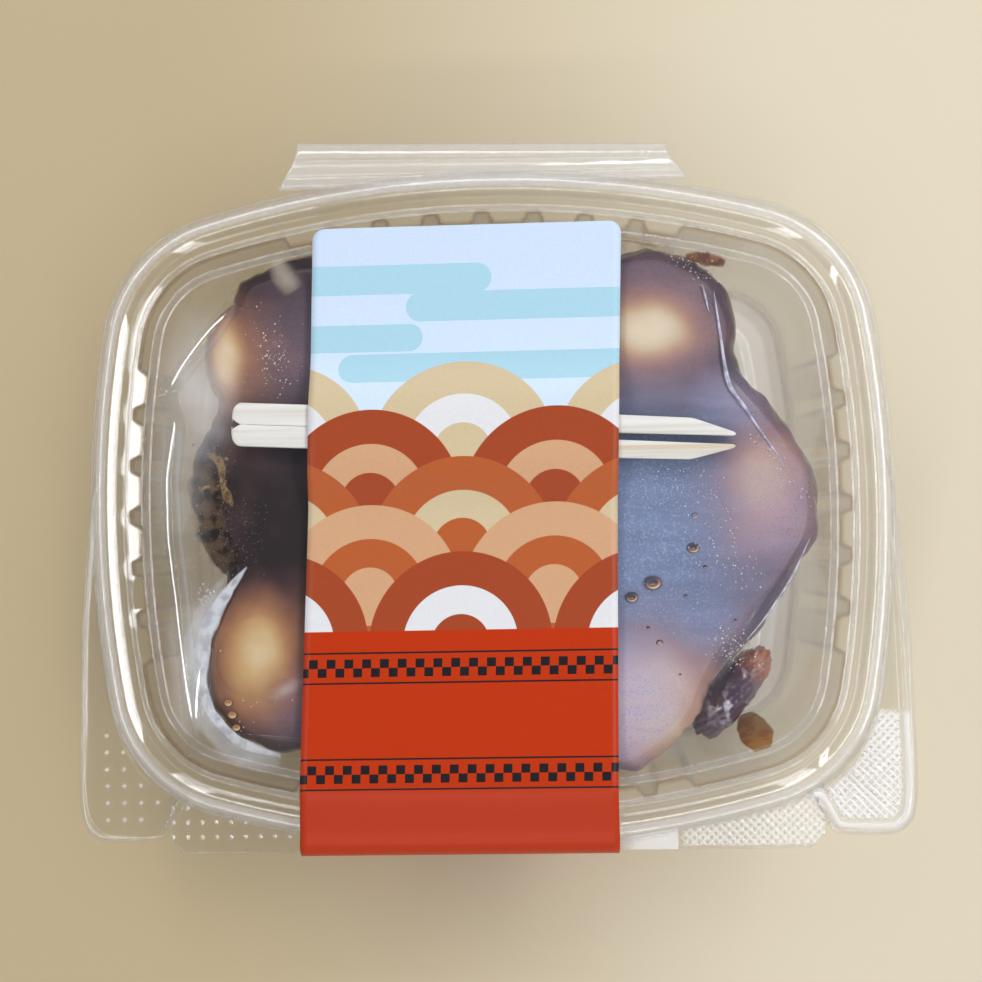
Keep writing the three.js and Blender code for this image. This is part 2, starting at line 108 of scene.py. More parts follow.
def to_metres(points: Array) -> Array:
    """Moves points from pack millimetres to the frame's metres, by where the frame holds the hinge's back."""
    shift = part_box("container")[1].y / MM - HINGE_BACK
    return (points + np.array([0.0, shift, 0.0])) * MM


def smooth_step(value: Array, low: float, high: float) -> Array:
    """0 below low, 1 above high, and 3t^2 - 2t^3 between them."""
    t = np.clip((value - low) / (high - low), 0.0, 1.0)
    return t * t * (3 - 2 * t)


def rounded(corners: Array, reach: float, steps: int) -> Array:
    """Rounds a line's inner corners with quadratic curves.

    Each curve leaves and meets the corner's two edges at the distance reach, or a little before their
    middles where an edge is short.

    Args:
        corners: The line's points, one in each row.
        reach: How far from its corner a curve starts.
        steps: Points in each curve.

    Returns:
        The rounded line's points.
    """
    corner = corners[1:-1]

    def towards(other: Array) -> Array:
        """Points on the way from the corners to the others, where the curves end."""
        edge = other - corner
        length = np.linalg.norm(edge, axis=1, keepdims=True)
        return (corner + edge * np.minimum(reach / length, 0.45))[:, None]

    t = np.linspace(0, 1, steps)[None, :, None]
    start, end = towards(corners[:-2]), towards(corners[2:])
    curve = (1 - t) ** 2 * start + 2 * t * (1 - t) * corner[:, None] + t**2 * end
    return np.concatenate([corners[:1], curve.reshape(-1, corners.shape[1]), corners[-1:]])


def bell(value: Array, middle: float, width: float) -> Array:
    """A bell curve: exp(-((value - middle) / width)^2)."""
    return np.exp(-(((value - middle) / width) ** 2))


def around(count: int) -> Array:
    """Even angles for one full turn."""
    return np.linspace(0, 2 * math.pi, count, endpoint=False)


def latitudes(rows: int) -> Array:
    """Even latitudes between a ball's poles, in a column."""
    return ((np.arange(rows) + 0.5) / rows - 0.5)[:, None] * math.pi


def turned(points: Array, degrees: float) -> Array:
    """Points turned anticlockwise about the Z axis."""
    turn = math.radians(degrees)
    spin = [[math.cos(turn), -math.sin(turn), 0], [math.sin(turn), math.cos(turn), 0], [0, 0, 1]]
    return points @ np.array(spin).T


def at_height(plane: Array, z: Array | float) -> Array:
    """Points of a plane with their heights."""
    return np.concatenate([plane, np.broadcast_to(z, plane.shape[:-1])[..., None]], -1)


def left_of(path: Array) -> Array:
    """The unit vector to the left of a plane line, at each of its points."""
    step = np.gradient(path, axis=0)
    return np.stack([-step[:, 1], step[:, 0]], -1) / np.linalg.norm(step, axis=1, keepdims=True)


def along(points: Array) -> Array:
    """The length of a line from its start to each of its points."""
    steps = np.linalg.norm(np.diff(points, axis=0), axis=1)
    return np.concatenate([[0.0], np.cumsum(steps)])


def evenly(points: Array, count: int) -> Array:
    """Places count points at even lengths on a line."""
    lengths = along(points)
    at = np.linspace(0, lengths[-1], count)
    return np.stack([np.interp(at, lengths, column) for column in points.T], axis=1)


def distance_to_line(points: Array, line: Array) -> Array:
    """The shortest distance from points to a line's straight segments, in the plane.

    Args:
        points: Points, with x and y first on the last axis.
        line: The line's points, one in each row.

    Returns:
        One distance for each point.
    """
    start, edge = line[:-1], np.diff(line, axis=0)
    offset = points[..., None, :2] - start
    share = np.clip((offset * edge).sum(-1) / (edge**2).sum(-1), 0, 1)
    return np.linalg.norm(offset - share[..., None] * edge, axis=-1).min(-1)


@dataclass(frozen=True)
class Ripple:
    """A smooth uneven field: the sum of sine waves of about one length, in seeded directions."""

    length: float
    seed: int
    waves: int = 9

    def __call__(self, points: Array) -> Array:
        """The field at points of three numbers each, mostly between -1 and 1."""
        rng = np.random.default_rng(self.seed)
        way = rng.normal(size=(self.waves, 3))
        way /= np.linalg.norm(way, axis=1, keepdims=True)
        way *= rng.uniform(0.7, 1.4, (self.waves, 1)) * 2 * math.pi / self.length
        phase = points @ way.T + rng.uniform(0, 2 * math.pi, self.waves)
        return np.sin(phase).sum(-1) / math.sqrt(self.waves)


# ---- Putting points into meshes ----


def grid_quads(rows: int, columns: int, wrap: bool = False) -> Array:
    """The four-sided faces of a grid of points, listed row by row.

    Args:
        rows: Rows of points.
        columns: Points in each row.
        wrap: Whether each row closes on itself.

    Returns:
        One face's four indices in each row.
    """
    i, j = np.meshgrid(np.arange(rows - 1), np.arange(columns - (not wrap)), indexing="ij")
    here, after = i * columns + j, i * columns + (j + 1) % columns
    return np.stack([here, after, after + columns, here + columns], -1).reshape(-1, 4)


def fan(start: int, count: int, pole: int) -> Array:
    """The triangles that close a ring of count points, from the index start, onto one pole."""
    j = np.arange(count)
    return np.stack([start + j, start + (j + 1) % count, np.full(count, pole)], -1)


def capped(grid: Array, ends: list[list[float]] | None = None, flip: bool = False) -> Mesh:
    """Closes a pile of rings with a pole at its end, and at its start too where two poles are given.

    Args:
        grid: Points by ring and column, with outward faces where the rings turn anticlockwise and rise.
        ends: One pole or two, or None for the middles of the first and the last ring.
        flip: Whether the faces look the other way.

    Returns:
        All points, and the points' indices round each face, in one array for each kind of face.
    """
    rows, columns = grid.shape[:2]
    ends = grid[[0, -1]].mean(1) if ends is None else np.array(ends, float)
    points = np.concatenate([grid.reshape(-1, 3), ends])
    faces = [grid_quads(rows, columns, wrap=True), fan((rows - 1) * columns, columns, len(points) - 1)]
    if len(ends) == 2:
        faces.append(fan(0, columns, len(points) - 2)[:, ::-1])
    return points, [part[:, ::-1] for part in faces] if flip else faces


def copies(one: Array, faces: list[Array], places: Array, sizes: Array) -> Mesh:
    """Copies of a small mesh, each moved to its place and scaled by its size."""
    points = places[:, None] + sizes[:, None, None] * one
    first = np.arange(len(places))[:, None, None] * len(one)
    return points.reshape(-1, 3), [(first + part).reshape(-1, part.shape[1]) for part in faces]


def make_piece(name: str, points: Array, faces: list[Array], finish: Material, slot: Slot,
               replaces: tuple[str, ...] = ()) -> Object:
    """Makes a smooth mesh of points in pack millimetres, and lets it ride on the pack's body.

    Args:
        name: The piece's name.
        points: Points in pack millimetres.
        faces: The points' indices round each face, in arrays of one kind of face each.
        finish: The piece's material.
        slot: The record's slot that the finish belongs to; not used.
        replaces: CAD nodes that the piece stands for.

    Returns:
        The piece.
    """
    mesh = bpy.data.meshes.new(name)
    every_face = [face for part in faces for face in part.tolist()]
    mesh.from_pydata(to_metres(points.reshape(-1, 3)).tolist(), [], every_face)
    mesh.polygons.foreach_set("use_smooth", np.ones(len(mesh.polygons), bool))
    mesh.materials.append(finish)
    mesh.update()
    piece = bpy.data.objects.new(name, mesh)
    bpy.context.scene.collection.objects.link(piece)
    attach(piece, BODY)
    if replaces:
        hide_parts(*replaces)
    LOG.info("%s: %d faces", name, len(mesh.polygons))
    return piece


def set_attribute(piece: Object, name: str, values: Array) -> None:
    """Gives a mesh's points one number each, which a finish reads by name."""
    attribute = piece.data.attributes.new(name, "FLOAT", "POINT")
    attribute.data.foreach_set("value", values.ravel().astype(np.float32))


def set_uv(piece: Object, uv: Array) -> None:
    """Gives a mesh a UV map from two numbers for each point."""
    corners = np.zeros(len(piece.data.loops), np.int32)
    piece.data.loops.foreach_get("vertex_index", corners)
    layer = piece.data.uv_layers.new(name="UVMap")
    layer.uv.foreach_set("vector", uv.reshape(-1, 2)[corners].astype(np.float32).ravel())


def make_plane(name: str, half: tuple[float, float], finish: Material, facing: int) -> Object:
    """Makes a plane of the stage from its half sizes in metres, facing up for 1 or down for -1."""
    mesh = bpy.data.meshes.new(name)
    x, y = half[0] * facing, half[1]
    mesh.from_pydata([(-x, -y, 0), (x, -y, 0), (x, y, 0), (-x, y, 0)], [], [(0, 1, 2, 3)])
    mesh.materials.append(finish)
    plane = bpy.data.objects.new(name, mesh)
    bpy.context.scene.collection.objects.link(plane)
    return plane


def thicken(piece: Object, thickness: float, offset: float = -1.0) -> None:
    """Gives a sheet its thickness in millimetres, behind its faces, or before them where offset is 1."""
    solid = piece.modifiers.new("thickness", "SOLIDIFY")
    solid.thickness = thickness * MM
    solid.offset = offset
    solid.use_even_offset = False


# ---- Finishes ----


class Nodes:
    """The nodes of a material or a world, with short calls to add and join them."""

    def __init__(self, name: str, kind: str = "materials") -> None:
        """Starts an empty material, or a world where the kind is "worlds"."""
        self.owner = getattr(bpy.data, kind).new(name)
        self.owner.use_nodes = True
        self.tree = self.owner.node_tree
        self.tree.nodes.clear()

    def add(self, kind: str, inputs: Inputs | None = None, **settings: object) -> Node:
        """Adds a node.

        Args:
            kind: The node's type, without its ShaderNode prefix.
            inputs: A value or another node's output for each input, by its name or number; a colour is
                three numbers.
            **settings: The node's own settings.

        Returns:
            The node.
        """
        node = self.tree.nodes.new("ShaderNode" + kind)
        for key, value in settings.items():
            setattr(node, key, value)
        for key, value in (inputs or {}).items():
            socket = node.inputs[key]
            if isinstance(value, Socket):
                self.tree.links.new(value, socket)
            else:
                socket.default_value = (*value, 1.0) if socket.type == "RGBA" else value
        return node

    def math(self, operation: str, *values: object) -> Socket:
        """The output of a Math node on one to three values."""
        return self.add("Math", dict(enumerate(values)), operation=operation).outputs[0]

    def step(self, value: Socket, low: float, high: float) -> Socket:
        """0 below low and 1 above high, smoothly between them; falling where high is the smaller."""
        inputs = {"Value": value, "From Min": low, "From Max": high}
        return self.add("MapRange", inputs, interpolation_type="SMOOTHSTEP").outputs[0]

    def mix(self, share: object, first: object, second: object, blend: str = "MIX") -> Socket:
        """Mixes two colours by a share of the second."""
        return self.add("Mix", {0: share, 6: first, 7: second}, data_type="RGBA", blend_type=blend).outputs[2]

    def ramp(self, value: Socket, stops: tuple[tuple[float, Colour], ...]) -> Socket:
        """Colours a value by a ramp through stops of a place and a colour."""
        node = self.add("ValToRGB", {0: value})
        elements = node.color_ramp.elements
        while len(elements) < len(stops):
            elements.new(0.5)
        for element, (place, colour) in zip(elements, stops):
            element.position = place
            element.color = (*colour, 1.0)
        return node.outputs[0]

    def noise(self, scale: float, detail: float = 2.0, vector: object = None) -> Socket:
        """Noise with so many cells to a metre, on Object coordinates or another vector."""
        place = vector or self.place()
        return self.add("TexNoise", {"Vector": place, "Scale": scale, "Detail": detail}).outputs[0]

    def place(self) -> Socket:
        """The Object coordinates."""
        return self.add("TexCoord").outputs["Object"]

    def stretched(self, scale: tuple[float, float, float], turn: float) -> Socket:
        """The Object coordinates, scaled along each axis and turned about Z, for a grain with a direction."""
        inputs = {"Vector": self.place(), "Rotation": (0, 0, turn), "Scale": scale}
        return self.add("Mapping", inputs).outputs[0]

    def attribute(self, name: str) -> Socket:
        """A number that the mesh holds for each point."""
        return self.add("Attribute", attribute_name=name).outputs["Fac"]

    def bump(self, height: object, strength: float, depth: float) -> Socket:
        """A normal from a height, at most depth millimetres deep."""
        return self.add("Bump", {"Height": height, "Strength": strength, "Distance": depth * MM}).outputs[0]

    def edge_on(self) -> Socket:
        """1 - cos of the angle between the view and the normal: 1 where a face is seen edge on."""
        return self.add("LayerWeight", {"Blend": 0.5}).outputs["Facing"]

    def blend(self, share: object, first: Node, second: Node) -> Node:
        """Mixes two shaders by a share of the second."""
        return self.add("MixShader", {0: share, 1: first.outputs[0], 2: second.outputs[0]})

    def done(self, shader: Node, output: str = "OutputMaterial") -> ID:
        """Joins a shader to the output, and gives the material or the world."""
        self.add(output, {0: shader.outputs[0]})
        return self.owner

    def principled(self, inputs: Inputs) -> Material:
        """Ends with one Principled shader, and gives the material."""
        return self.done(self.add("BsdfPrincipled", inputs))


@dataclass(frozen=True)
class ClearSheet:
    """Thin clear plastic: looked through, mirroring and scattering more where it is seen edge on.

    The mesh's 'fold' paints shade along sharp bends, as thin darker lines. A second attribute whitens what is
    pressed rough, and also lays on painted sheen and highlights.
    """

    name: str = "clear_sheet"
    face_tint: Colour = (0.997, 0.995, 0.988)
    edge_tint: Colour = (0.70, 0.70, 0.72)
    # Painted shade for the thin dark lines along bends.
    fold_shade_tint: Colour = (0.62, 0.52, 0.40)
    shade_tint: Colour = (0.985, 0.982, 0.976)
    gloss_tint: Colour = (0.93, 0.96, 1.0)
    milk_tint: Colour = (0.92, 0.92, 0.93)
    roughness: float = 0.02
    face_gloss: float = 0.045
    edge_gloss: float = 0.5
    haze: float = 0.004
    edge_milk: float = 0.13

    def material(self) -> Material:
        """Gloss = face_gloss + edge_gloss e^4 and milk = haze + edge_milk e^2, with e how edge on a face is.

        Light for shadows goes through a plain tint, which is quick to work out.
        """
        nodes = Nodes(self.name)
        edge_on = nodes.edge_on()
        square = nodes.math("MULTIPLY", edge_on, edge_on)
        fourth = nodes.math("MULTIPLY", square, square)
        tint = nodes.mix(nodes.math("MULTIPLY", square, 0.9), self.face_tint, self.edge_tint)
        # Painted shade: a darker tint along the mesh's bend lines.
        tint = nodes.mix(nodes.attribute("fold"), tint, self.fold_shade_tint)
        clear = nodes.add("BsdfTransparent", {"Color": tint})
        gloss = nodes.add("BsdfGlossy", {"Color": self.gloss_tint, "Roughness": self.roughness})
        mirror = nodes.math("MULTIPLY_ADD", fourth, self.edge_gloss, self.face_gloss)
        milk = nodes.math("MULTIPLY_ADD", square, self.edge_milk, self.haze)
        # Frost where the sheet is pressed rough, plus the painted sheen and highlights that the mesh lays on.
        milk = nodes.math("MAXIMUM", milk, nodes.attribute("frost_and_sheen"))
        milky = nodes.add("BsdfDiffuse", {"Color": self.milk_tint})
        whole = nodes.blend(milk, nodes.blend(mirror, clear, gloss), milky)
        plain = nodes.add("BsdfTransparent", {"Color": self.shade_tint})
        return nodes.done(nodes.blend(nodes.add("LightPath").outputs["Is Shadow Ray"], whole, plain))


@dataclass(frozen=True)
class Glaze:
    """Rice dough under brown soy glaze, coloured by the mesh's 'depth', 'veil', 'violet' and 'stuck'.

    The painted sheen is a pale blue or violet haze laid into the colour where the glaze sticks to the lid, in
    place of the lid's reflection. What is stuck has no gloss.
    """

    name: str
    roughness: float = 0.18
    bump: float = 0.12
    # Painted sheen colours: blue, lilac and a mottle, in place of the lid's reflection.
    blue: Colour = (0.165, 0.21, 0.36)
    lilac: Colour = (0.47, 0.37, 0.51)
    sheen_mottle: Colour = (0.27, 0.32, 0.47)
    stops: tuple[tuple[float, Colour], ...] = (
        (0.0, (0.83, 0.71, 0.49)),
        (0.15, (0.68, 0.56, 0.35)),
        (0.3, (0.56, 0.37, 0.175)),
        (0.45, (0.41, 0.215, 0.095)),
        (0.6, (0.27, 0.12, 0.062)),
        (0.75, (0.135, 0.058, 0.042)),
        (0.88, (0.05, 0.019, 0.02)),
        (1.0, (0.012, 0.004, 0.006)),
    )

    def material(self) -> Material:
        """A ramp from cream through amber and brown to near black, clouded, under the streaky painted sheen.
        """
        nodes = Nodes(self.name)
        cloud = nodes.math("MULTIPLY_ADD", nodes.noise(130.0, 2.0), 0.2, -0.1)
        depth = nodes.math("ADD", nodes.attribute("depth"), cloud)
        # Painted sheen: a streaky blue to violet haze mixed into the ramp's colour.
        way = nodes.stretched((90.0, 520.0, 90.0), 0.9)
        streak = nodes.math("MULTIPLY_ADD", nodes.noise(1.0, 3.0, way), 0.5, 0.7)
        share = nodes.math("MULTIPLY", nodes.attribute("painted_sheen"), streak)
        sheen_colour = nodes.mix(nodes.attribute("violet"), self.blue, self.lilac)
        sheen_colour = nodes.mix(nodes.step(nodes.noise(2400.0, 1.0), 0.5, 0.7), sheen_colour, self.sheen_mottle)
        colour = nodes.mix(nodes.math("MINIMUM", share, 1.0), nodes.ramp(depth, self.stops), sheen_colour)
        normal = nodes.bump(nodes.noise(300.0, 1.0), self.bump, 0.3)
        rough = nodes.math("MULTIPLY_ADD", nodes.attribute("stuck"), 0.5, self.roughness)
        return nodes.principled({
            "Base Color": colour, "Roughness": rough, "Normal": normal, "Specular IOR Level": 0.3,
        })


@dataclass(frozen=True)
class Film:
    """A thin smear or drop: a cloudy colour that fades out by the mesh's own 'cover'."""

    name: str
    colour: Colour
    patchy: Colour
    most: float = 0.8
    grain: float = 500.0
    torn: float = 0.6
    soft: float = 0.35

    def material(self) -> Material:
        """Wet colour mixed with transparent, where the mesh's cover and a noise together are thick enough."""
        nodes = Nodes(self.name)
        speck = nodes.noise(self.grain, 3.0)
        colour = nodes.mix(nodes.step(speck, 0.4, 0.62), self.colour, self.patchy)
        normal = nodes.bump(speck, 0.5, 0.3)
        wet = nodes.add("BsdfPrincipled", {"Base Color": colour, "Roughness": 0.25, "Normal": normal})
        thick = nodes.math("MULTIPLY_ADD", speck, self.torn, nodes.attribute("cover"))
        thin = self.torn * 0.5
        share = nodes.math("MULTIPLY", nodes.step(thick, thin, thin + self.soft), self.most)
        return nodes.done(nodes.blend(share, nodes.add("BsdfTransparent"), wet))


@dataclass(frozen=True)
class Water:
    """Tiny drops of condensed water: clear, bright at their rims."""

    name: str = "droplet_water"
    tint: Colour = (0.93, 0.94, 0.95)
    white: Colour = (0.95, 0.93, 0.9)

    def material(self) -> Material:
        """Transparent, glossy towards the rim, with painted highlights: white in noisy spots, for the light
        caught inside.
        """
        nodes = Nodes(self.name)
        mirror = nodes.math("MULTIPLY_ADD", nodes.math("POWER", nodes.edge_on(), 3.0), 0.7, 0.08)
        clear = nodes.add("BsdfTransparent", {"Color": self.tint})
        drop = nodes.blend(mirror, clear, nodes.add("BsdfGlossy", {"Roughness": 0.08}))
        # Painted highlights: white in noisy spots.
        painted_glint = nodes.math("MULTIPLY_ADD", nodes.noise(900.0, 1.0), 1.1, -0.1)
        return nodes.done(nodes.blend(painted_glint, drop, nodes.add("BsdfDiffuse", {"Color": self.white})))


@dataclass(frozen=True)
class SetGlaze:
    """Glaze that has set on the floor: dark and crinkled, with a wet shine and a painted glint."""

    name: str = "set_glaze"
    glint: Colour = (0.80, 0.82, 0.95)
    stops: tuple[tuple[float, Colour], ...] = (
        (0.2, (0.46, 0.16, 0.07)),
        (0.45, (0.24, 0.085, 0.075)),
        (0.7, (0.125, 0.06, 0.085)),
        (1.0, (0.055, 0.03, 0.055)),
    )

    def material(self) -> Material:
        """Near black violet to orange brown by the mesh's 'depth', with creases that break up the shine, and
        a pale blue painted glint in noisy spots where the mesh's 'shine' is.
        """
        nodes = Nodes(self.name)
        cloud = nodes.math("MULTIPLY_ADD", nodes.noise(260.0, 4.0), 0.3, -0.15)
        depth = nodes.math("ADD", nodes.attribute("depth"), cloud)
        wet = nodes.noise(420.0, 4.0)
        # Painted highlight: the glint colour in noisy spots.
        sparkle = nodes.math("MULTIPLY", nodes.step(wet, 0.5, 0.66), nodes.attribute("shine"))
        colour = nodes.mix(sparkle, nodes.ramp(depth, self.stops), self.glint)
        return nodes.principled({
            "Base Color": colour, "Roughness": 0.14, "Normal": nodes.bump(wet, 0.9, 0.6),
            "Specular IOR Level": 0.9, "Coat Weight": 0.6, "Coat Roughness": 0.05,
        })


@dataclass(frozen=True)
class PaleWood:
    """Bare birch: pale, with fine long fibres."""

    name: str = "pale_wood"
    turn: float = 3.1
    dark: Colour = (0.62, 0.53, 0.40)
    stops: tuple[tuple[float, Colour], ...] = (
        (0.25, (0.58, 0.52, 0.42)),
        (0.5, (0.72, 0.70, 0.65)),
        (0.8, (0.80, 0.78, 0.75)),
    )

    def material(self) -> Material:
        """Noise stretched along the stick gives fibres, a few darker lines and the same in low relief."""
        nodes = Nodes(self.name)
        grain = nodes.stretched((14.0, 900.0, 500.0), math.radians(self.turn))
        fibre, broad = nodes.noise(1.0, 4.0, grain), nodes.noise(0.25, 3.0, grain)
        colour = nodes.mix(nodes.step(broad, 0.56, 0.62), nodes.ramp(fibre, self.stops), self.dark)
        relief = nodes.bump(fibre, 0.35, 0.15)
        return nodes.principled({"Base Color": colour, "Roughness": 0.62, "Normal": relief})


@dataclass(frozen=True)
class PaperBack:
    """The strap's plain white side."""

    name: str = "paper_back"
    shade: Colour = (0.78, 0.78, 0.76)
    white: Colour = (0.88, 0.88, 0.87)

    def material(self) -> Material:
        """White, with fine fibres."""
        nodes = Nodes(self.name)
        fibre = nodes.noise(900.0, 5.0)
        colour = nodes.mix(fibre, self.shade, self.white)
        relief = nodes.bump(fibre, 0.2, 0.1)
        return nodes.principled({"Base Color": colour, "Roughness": 0.6, "Normal": relief})


@dataclass(frozen=True)
class StrapPrint:
    """The strap's print: mist bars on a pale sky, big overlapping wave scales, and a plain brick-red block.

    The UV map's unit is PRINT_UNIT, with u across from the strap's middle and v along from its back end.
    """

    name: str = "strap_print"
    sky: Colour = (0.63, 0.76, 0.93)
    pale_sky: Colour = (0.66, 0.80, 0.95)
    mist: Colour = (0.42, 0.68, 0.80)
    red: Colour = (0.38, 0.065, 0.02)
    orange: Colour = (0.49, 0.115, 0.032)
    tan: Colour = (0.66, 0.38, 0.21)
    cream: Colour = (0.66, 0.53, 0.33)
    white: Colour = (0.78, 0.78, 0.79)
    block: Colour = (0.52, 0.036, 0.002)
    ink: Colour = (0.015, 0.012, 0.014)
    grain: Colour = (0.25, 0.2, 0.2)
    scale_radius: float = 16.5
    scale_pitch: float = 8.6
    scale_back: float = 41.0
    ring_shares: tuple[float, float] = (0.63, 0.32)
    block_back: float = 73.0
    borders: tuple[float, float] = (78.0, 97.0)
    check: float = 1.6
    rule_gap: float = 1.1
    rule_half: float = 0.16
    blur: float = 0.12
    mist_bars: tuple[tuple[float, float, float, float], ...] = (
        (-14.0, 16.0, 9.5, 2.6),
        (12.0, 20.0, 14.5, 2.6),
        (-22.0, 12.0, 20.0, 2.4),
        (6.0, 26.0, 25.5, 2.6),
    )

    def material(self) -> Material:
        """Fields of colour laid one over the other by distances in the strap's plane."""
        nodes = Nodes(self.name)
        place = nodes.add("SeparateXYZ", {0: nodes.add("UVMap").outputs[0]}).outputs
        u, v = (nodes.math("MULTIPLY", place[k], PRINT_UNIT) for k in (0, 1))
        colour = nodes.mix(nodes.step(v, 4.0, 30.0), self.sky, self.pale_sky)
        for middle, half, at, radius in self.mist_bars:
            beside = nodes.math("SUBTRACT", nodes.math("ABSOLUTE", nodes.math("SUBTRACT", u, middle)), half)
            beside = nodes.math("MAXIMUM", beside, 0.0)
            apart = self.distance(nodes, beside, nodes.math("SUBTRACT", v, at))
            colour = nodes.mix(nodes.step(apart, radius + 0.1, radius), colour, self.mist)
        colour = self.scales(nodes, u, v, colour)
        colour = self.lower_block(nodes, u, v, colour)
        grain = nodes.math("MULTIPLY", nodes.noise(2600.0, 2.0), 0.16)
        colour = nodes.mix(grain, colour, self.grain, "MULTIPLY")
        fibre = nodes.noise(900.0, 2.0)
        return nodes.principled({
            "Base Color": colour, "Roughness": nodes.math("MULTIPLY_ADD", fibre, 0.14, 0.33),
            "Specular IOR Level": 0.25, "Normal": nodes.bump(fibre, 0.12, 0.08),
        })

    @staticmethod
    def distance(nodes: Nodes, across: Socket, down: Socket) -> Socket:
        """The length of a step across and down."""
        pair = nodes.add("CombineXYZ", {0: across, 1: down}).outputs[0]
        return nodes.add("VectorMath", {0: pair}, operation="LENGTH").outputs["Value"]

    def scales(self, nodes: Nodes, u: Socket, v: Socket, colour: Socket) -> Socket:
        """Rows of round scales, each row over the one behind it and half a scale to the side."""
        pairs = ((self.cream, self.white), (self.red, self.tan), (self.orange, self.cream),
                 (self.tan, self.orange), (self.red, self.white))
        radius = self.scale_radius
        for row, (outer, inner) in enumerate(pairs):
            slide = radius if row % 2 else 0.0
            across = nodes.math("WRAP", nodes.math("ADD", u, slide), radius, -radius)
            down = nodes.math("SUBTRACT", v, self.scale_back + row * self.scale_pitch)
            apart = self.distance(nodes, across, down)
            bands = outer
            for share, shade in zip(self.ring_shares, (inner, outer)):
                bands = nodes.mix(nodes.step(apart, share * radius, share * radius - self.blur), bands, shade)
            colour = nodes.mix(nodes.step(apart, radius, radius - self.blur), colour, bands)
        return colour

    def lower_block(self, nodes: Nodes, u: Socket, v: Socket, colour: Socket) -> Socket:
        """The red block, with a narrow border of small ink checks between two thin rules."""
        half, size = self.blur / 2, self.check
        colour = nodes.mix(nodes.step(v, self.block_back - half, self.block_back + half), colour, self.block)
        for edge in self.borders:
            across = nodes.math("FLOOR", nodes.math("DIVIDE", u, size))
            down = nodes.math("FLOOR", nodes.math("DIVIDE", nodes.math("SUBTRACT", v, edge), size))
            odd = nodes.math("FLOORED_MODULO", nodes.math("ADD", across, down), 2.0)
            inside = nodes.math("COMPARE", v, edge + size, size)
            colour = nodes.mix(nodes.math("MULTIPLY", odd, inside), colour, self.ink)
            for rule in (edge - self.rule_gap, edge + 2 * size + self.rule_gap):
                colour = nodes.mix(nodes.math("COMPARE", v, rule, self.rule_half), colour, self.ink)
        return colour


@dataclass(frozen=True)
class TableTop:
    """The plain pale table."""

    name: str = "table_top"
    # Painted light: a shaded left and a lit right.
    left: Colour = (0.485, 0.385, 0.225)
    right: Colour = (0.69, 0.61, 0.455)
    mottle: Colour = (0.62, 0.52, 0.33)
    reach: float = 0.07

    def material(self) -> Material:
        """Warm beige with a trace of mottling, and painted light: a little paler towards the right, as the
        light falls off to the left.
        """
        nodes = Nodes(self.name)
        across = nodes.add("SeparateXYZ", {0: nodes.place()}).outputs[0]
        plain = nodes.mix(nodes.step(across, -self.reach, self.reach), self.left, self.right)
        colour = nodes.mix(nodes.math("MULTIPLY", nodes.noise(9.0, 3.0), 0.12), plain, self.mottle)
        return nodes.principled({"Base Color": colour, "Roughness": 0.6})


# ---- The pack's outline ----


@dataclass(frozen=True)
class Stations:
    """Places round the rim: each one's arc middle, way outwards, radius, and place among the flutes."""

    middle: Array
    way: Array
    radius: Array
    slide: Array
    tucks: Array

    def grid(self, inset: Array, z: Array, tuck: Array | float = 0.0, lift: Array | float = 0.0) -> Array:
        """Rings of the outline, one for each inset and height.

        A ring's point is its arc's middle plus its way times (radius - inset - tuck * flute).

        Args:
            inset: How far inside the rim each ring lies.
            z: Each ring's height.
            tuck: How deep the flutes are on each ring.
            lift: How much higher each ring runs in the flutes.

        Returns:
            Points by ring and station.
        """
        tuck, lift = (np.broadcast_to(part, inset.shape)[:, None] for part in (tuck, lift))
        reach = self.radius - inset[:, None] - tuck * self.flute()
        return at_height(self.middle + reach[..., None] * self.way, z[:, None] + lift * self.flute())

    def flute(self, pitch: float = 9.9, flat: float = 4.8, slope: float = 1.5) -> Array:
        """How far each station is tucked in, from 0 to 1: a smooth-sided step round each flute's middle."""
        last = np.maximum(self.tucks - 1, 0)
        nearest = np.clip(np.round(self.slide / pitch + last / 2), 0, last)
        offset = np.abs(self.slide - (nearest - last / 2) * pitch)
        return smooth_step(-offset, -flat / 2 - slope, -flat / 2) * (self.tucks > 0)


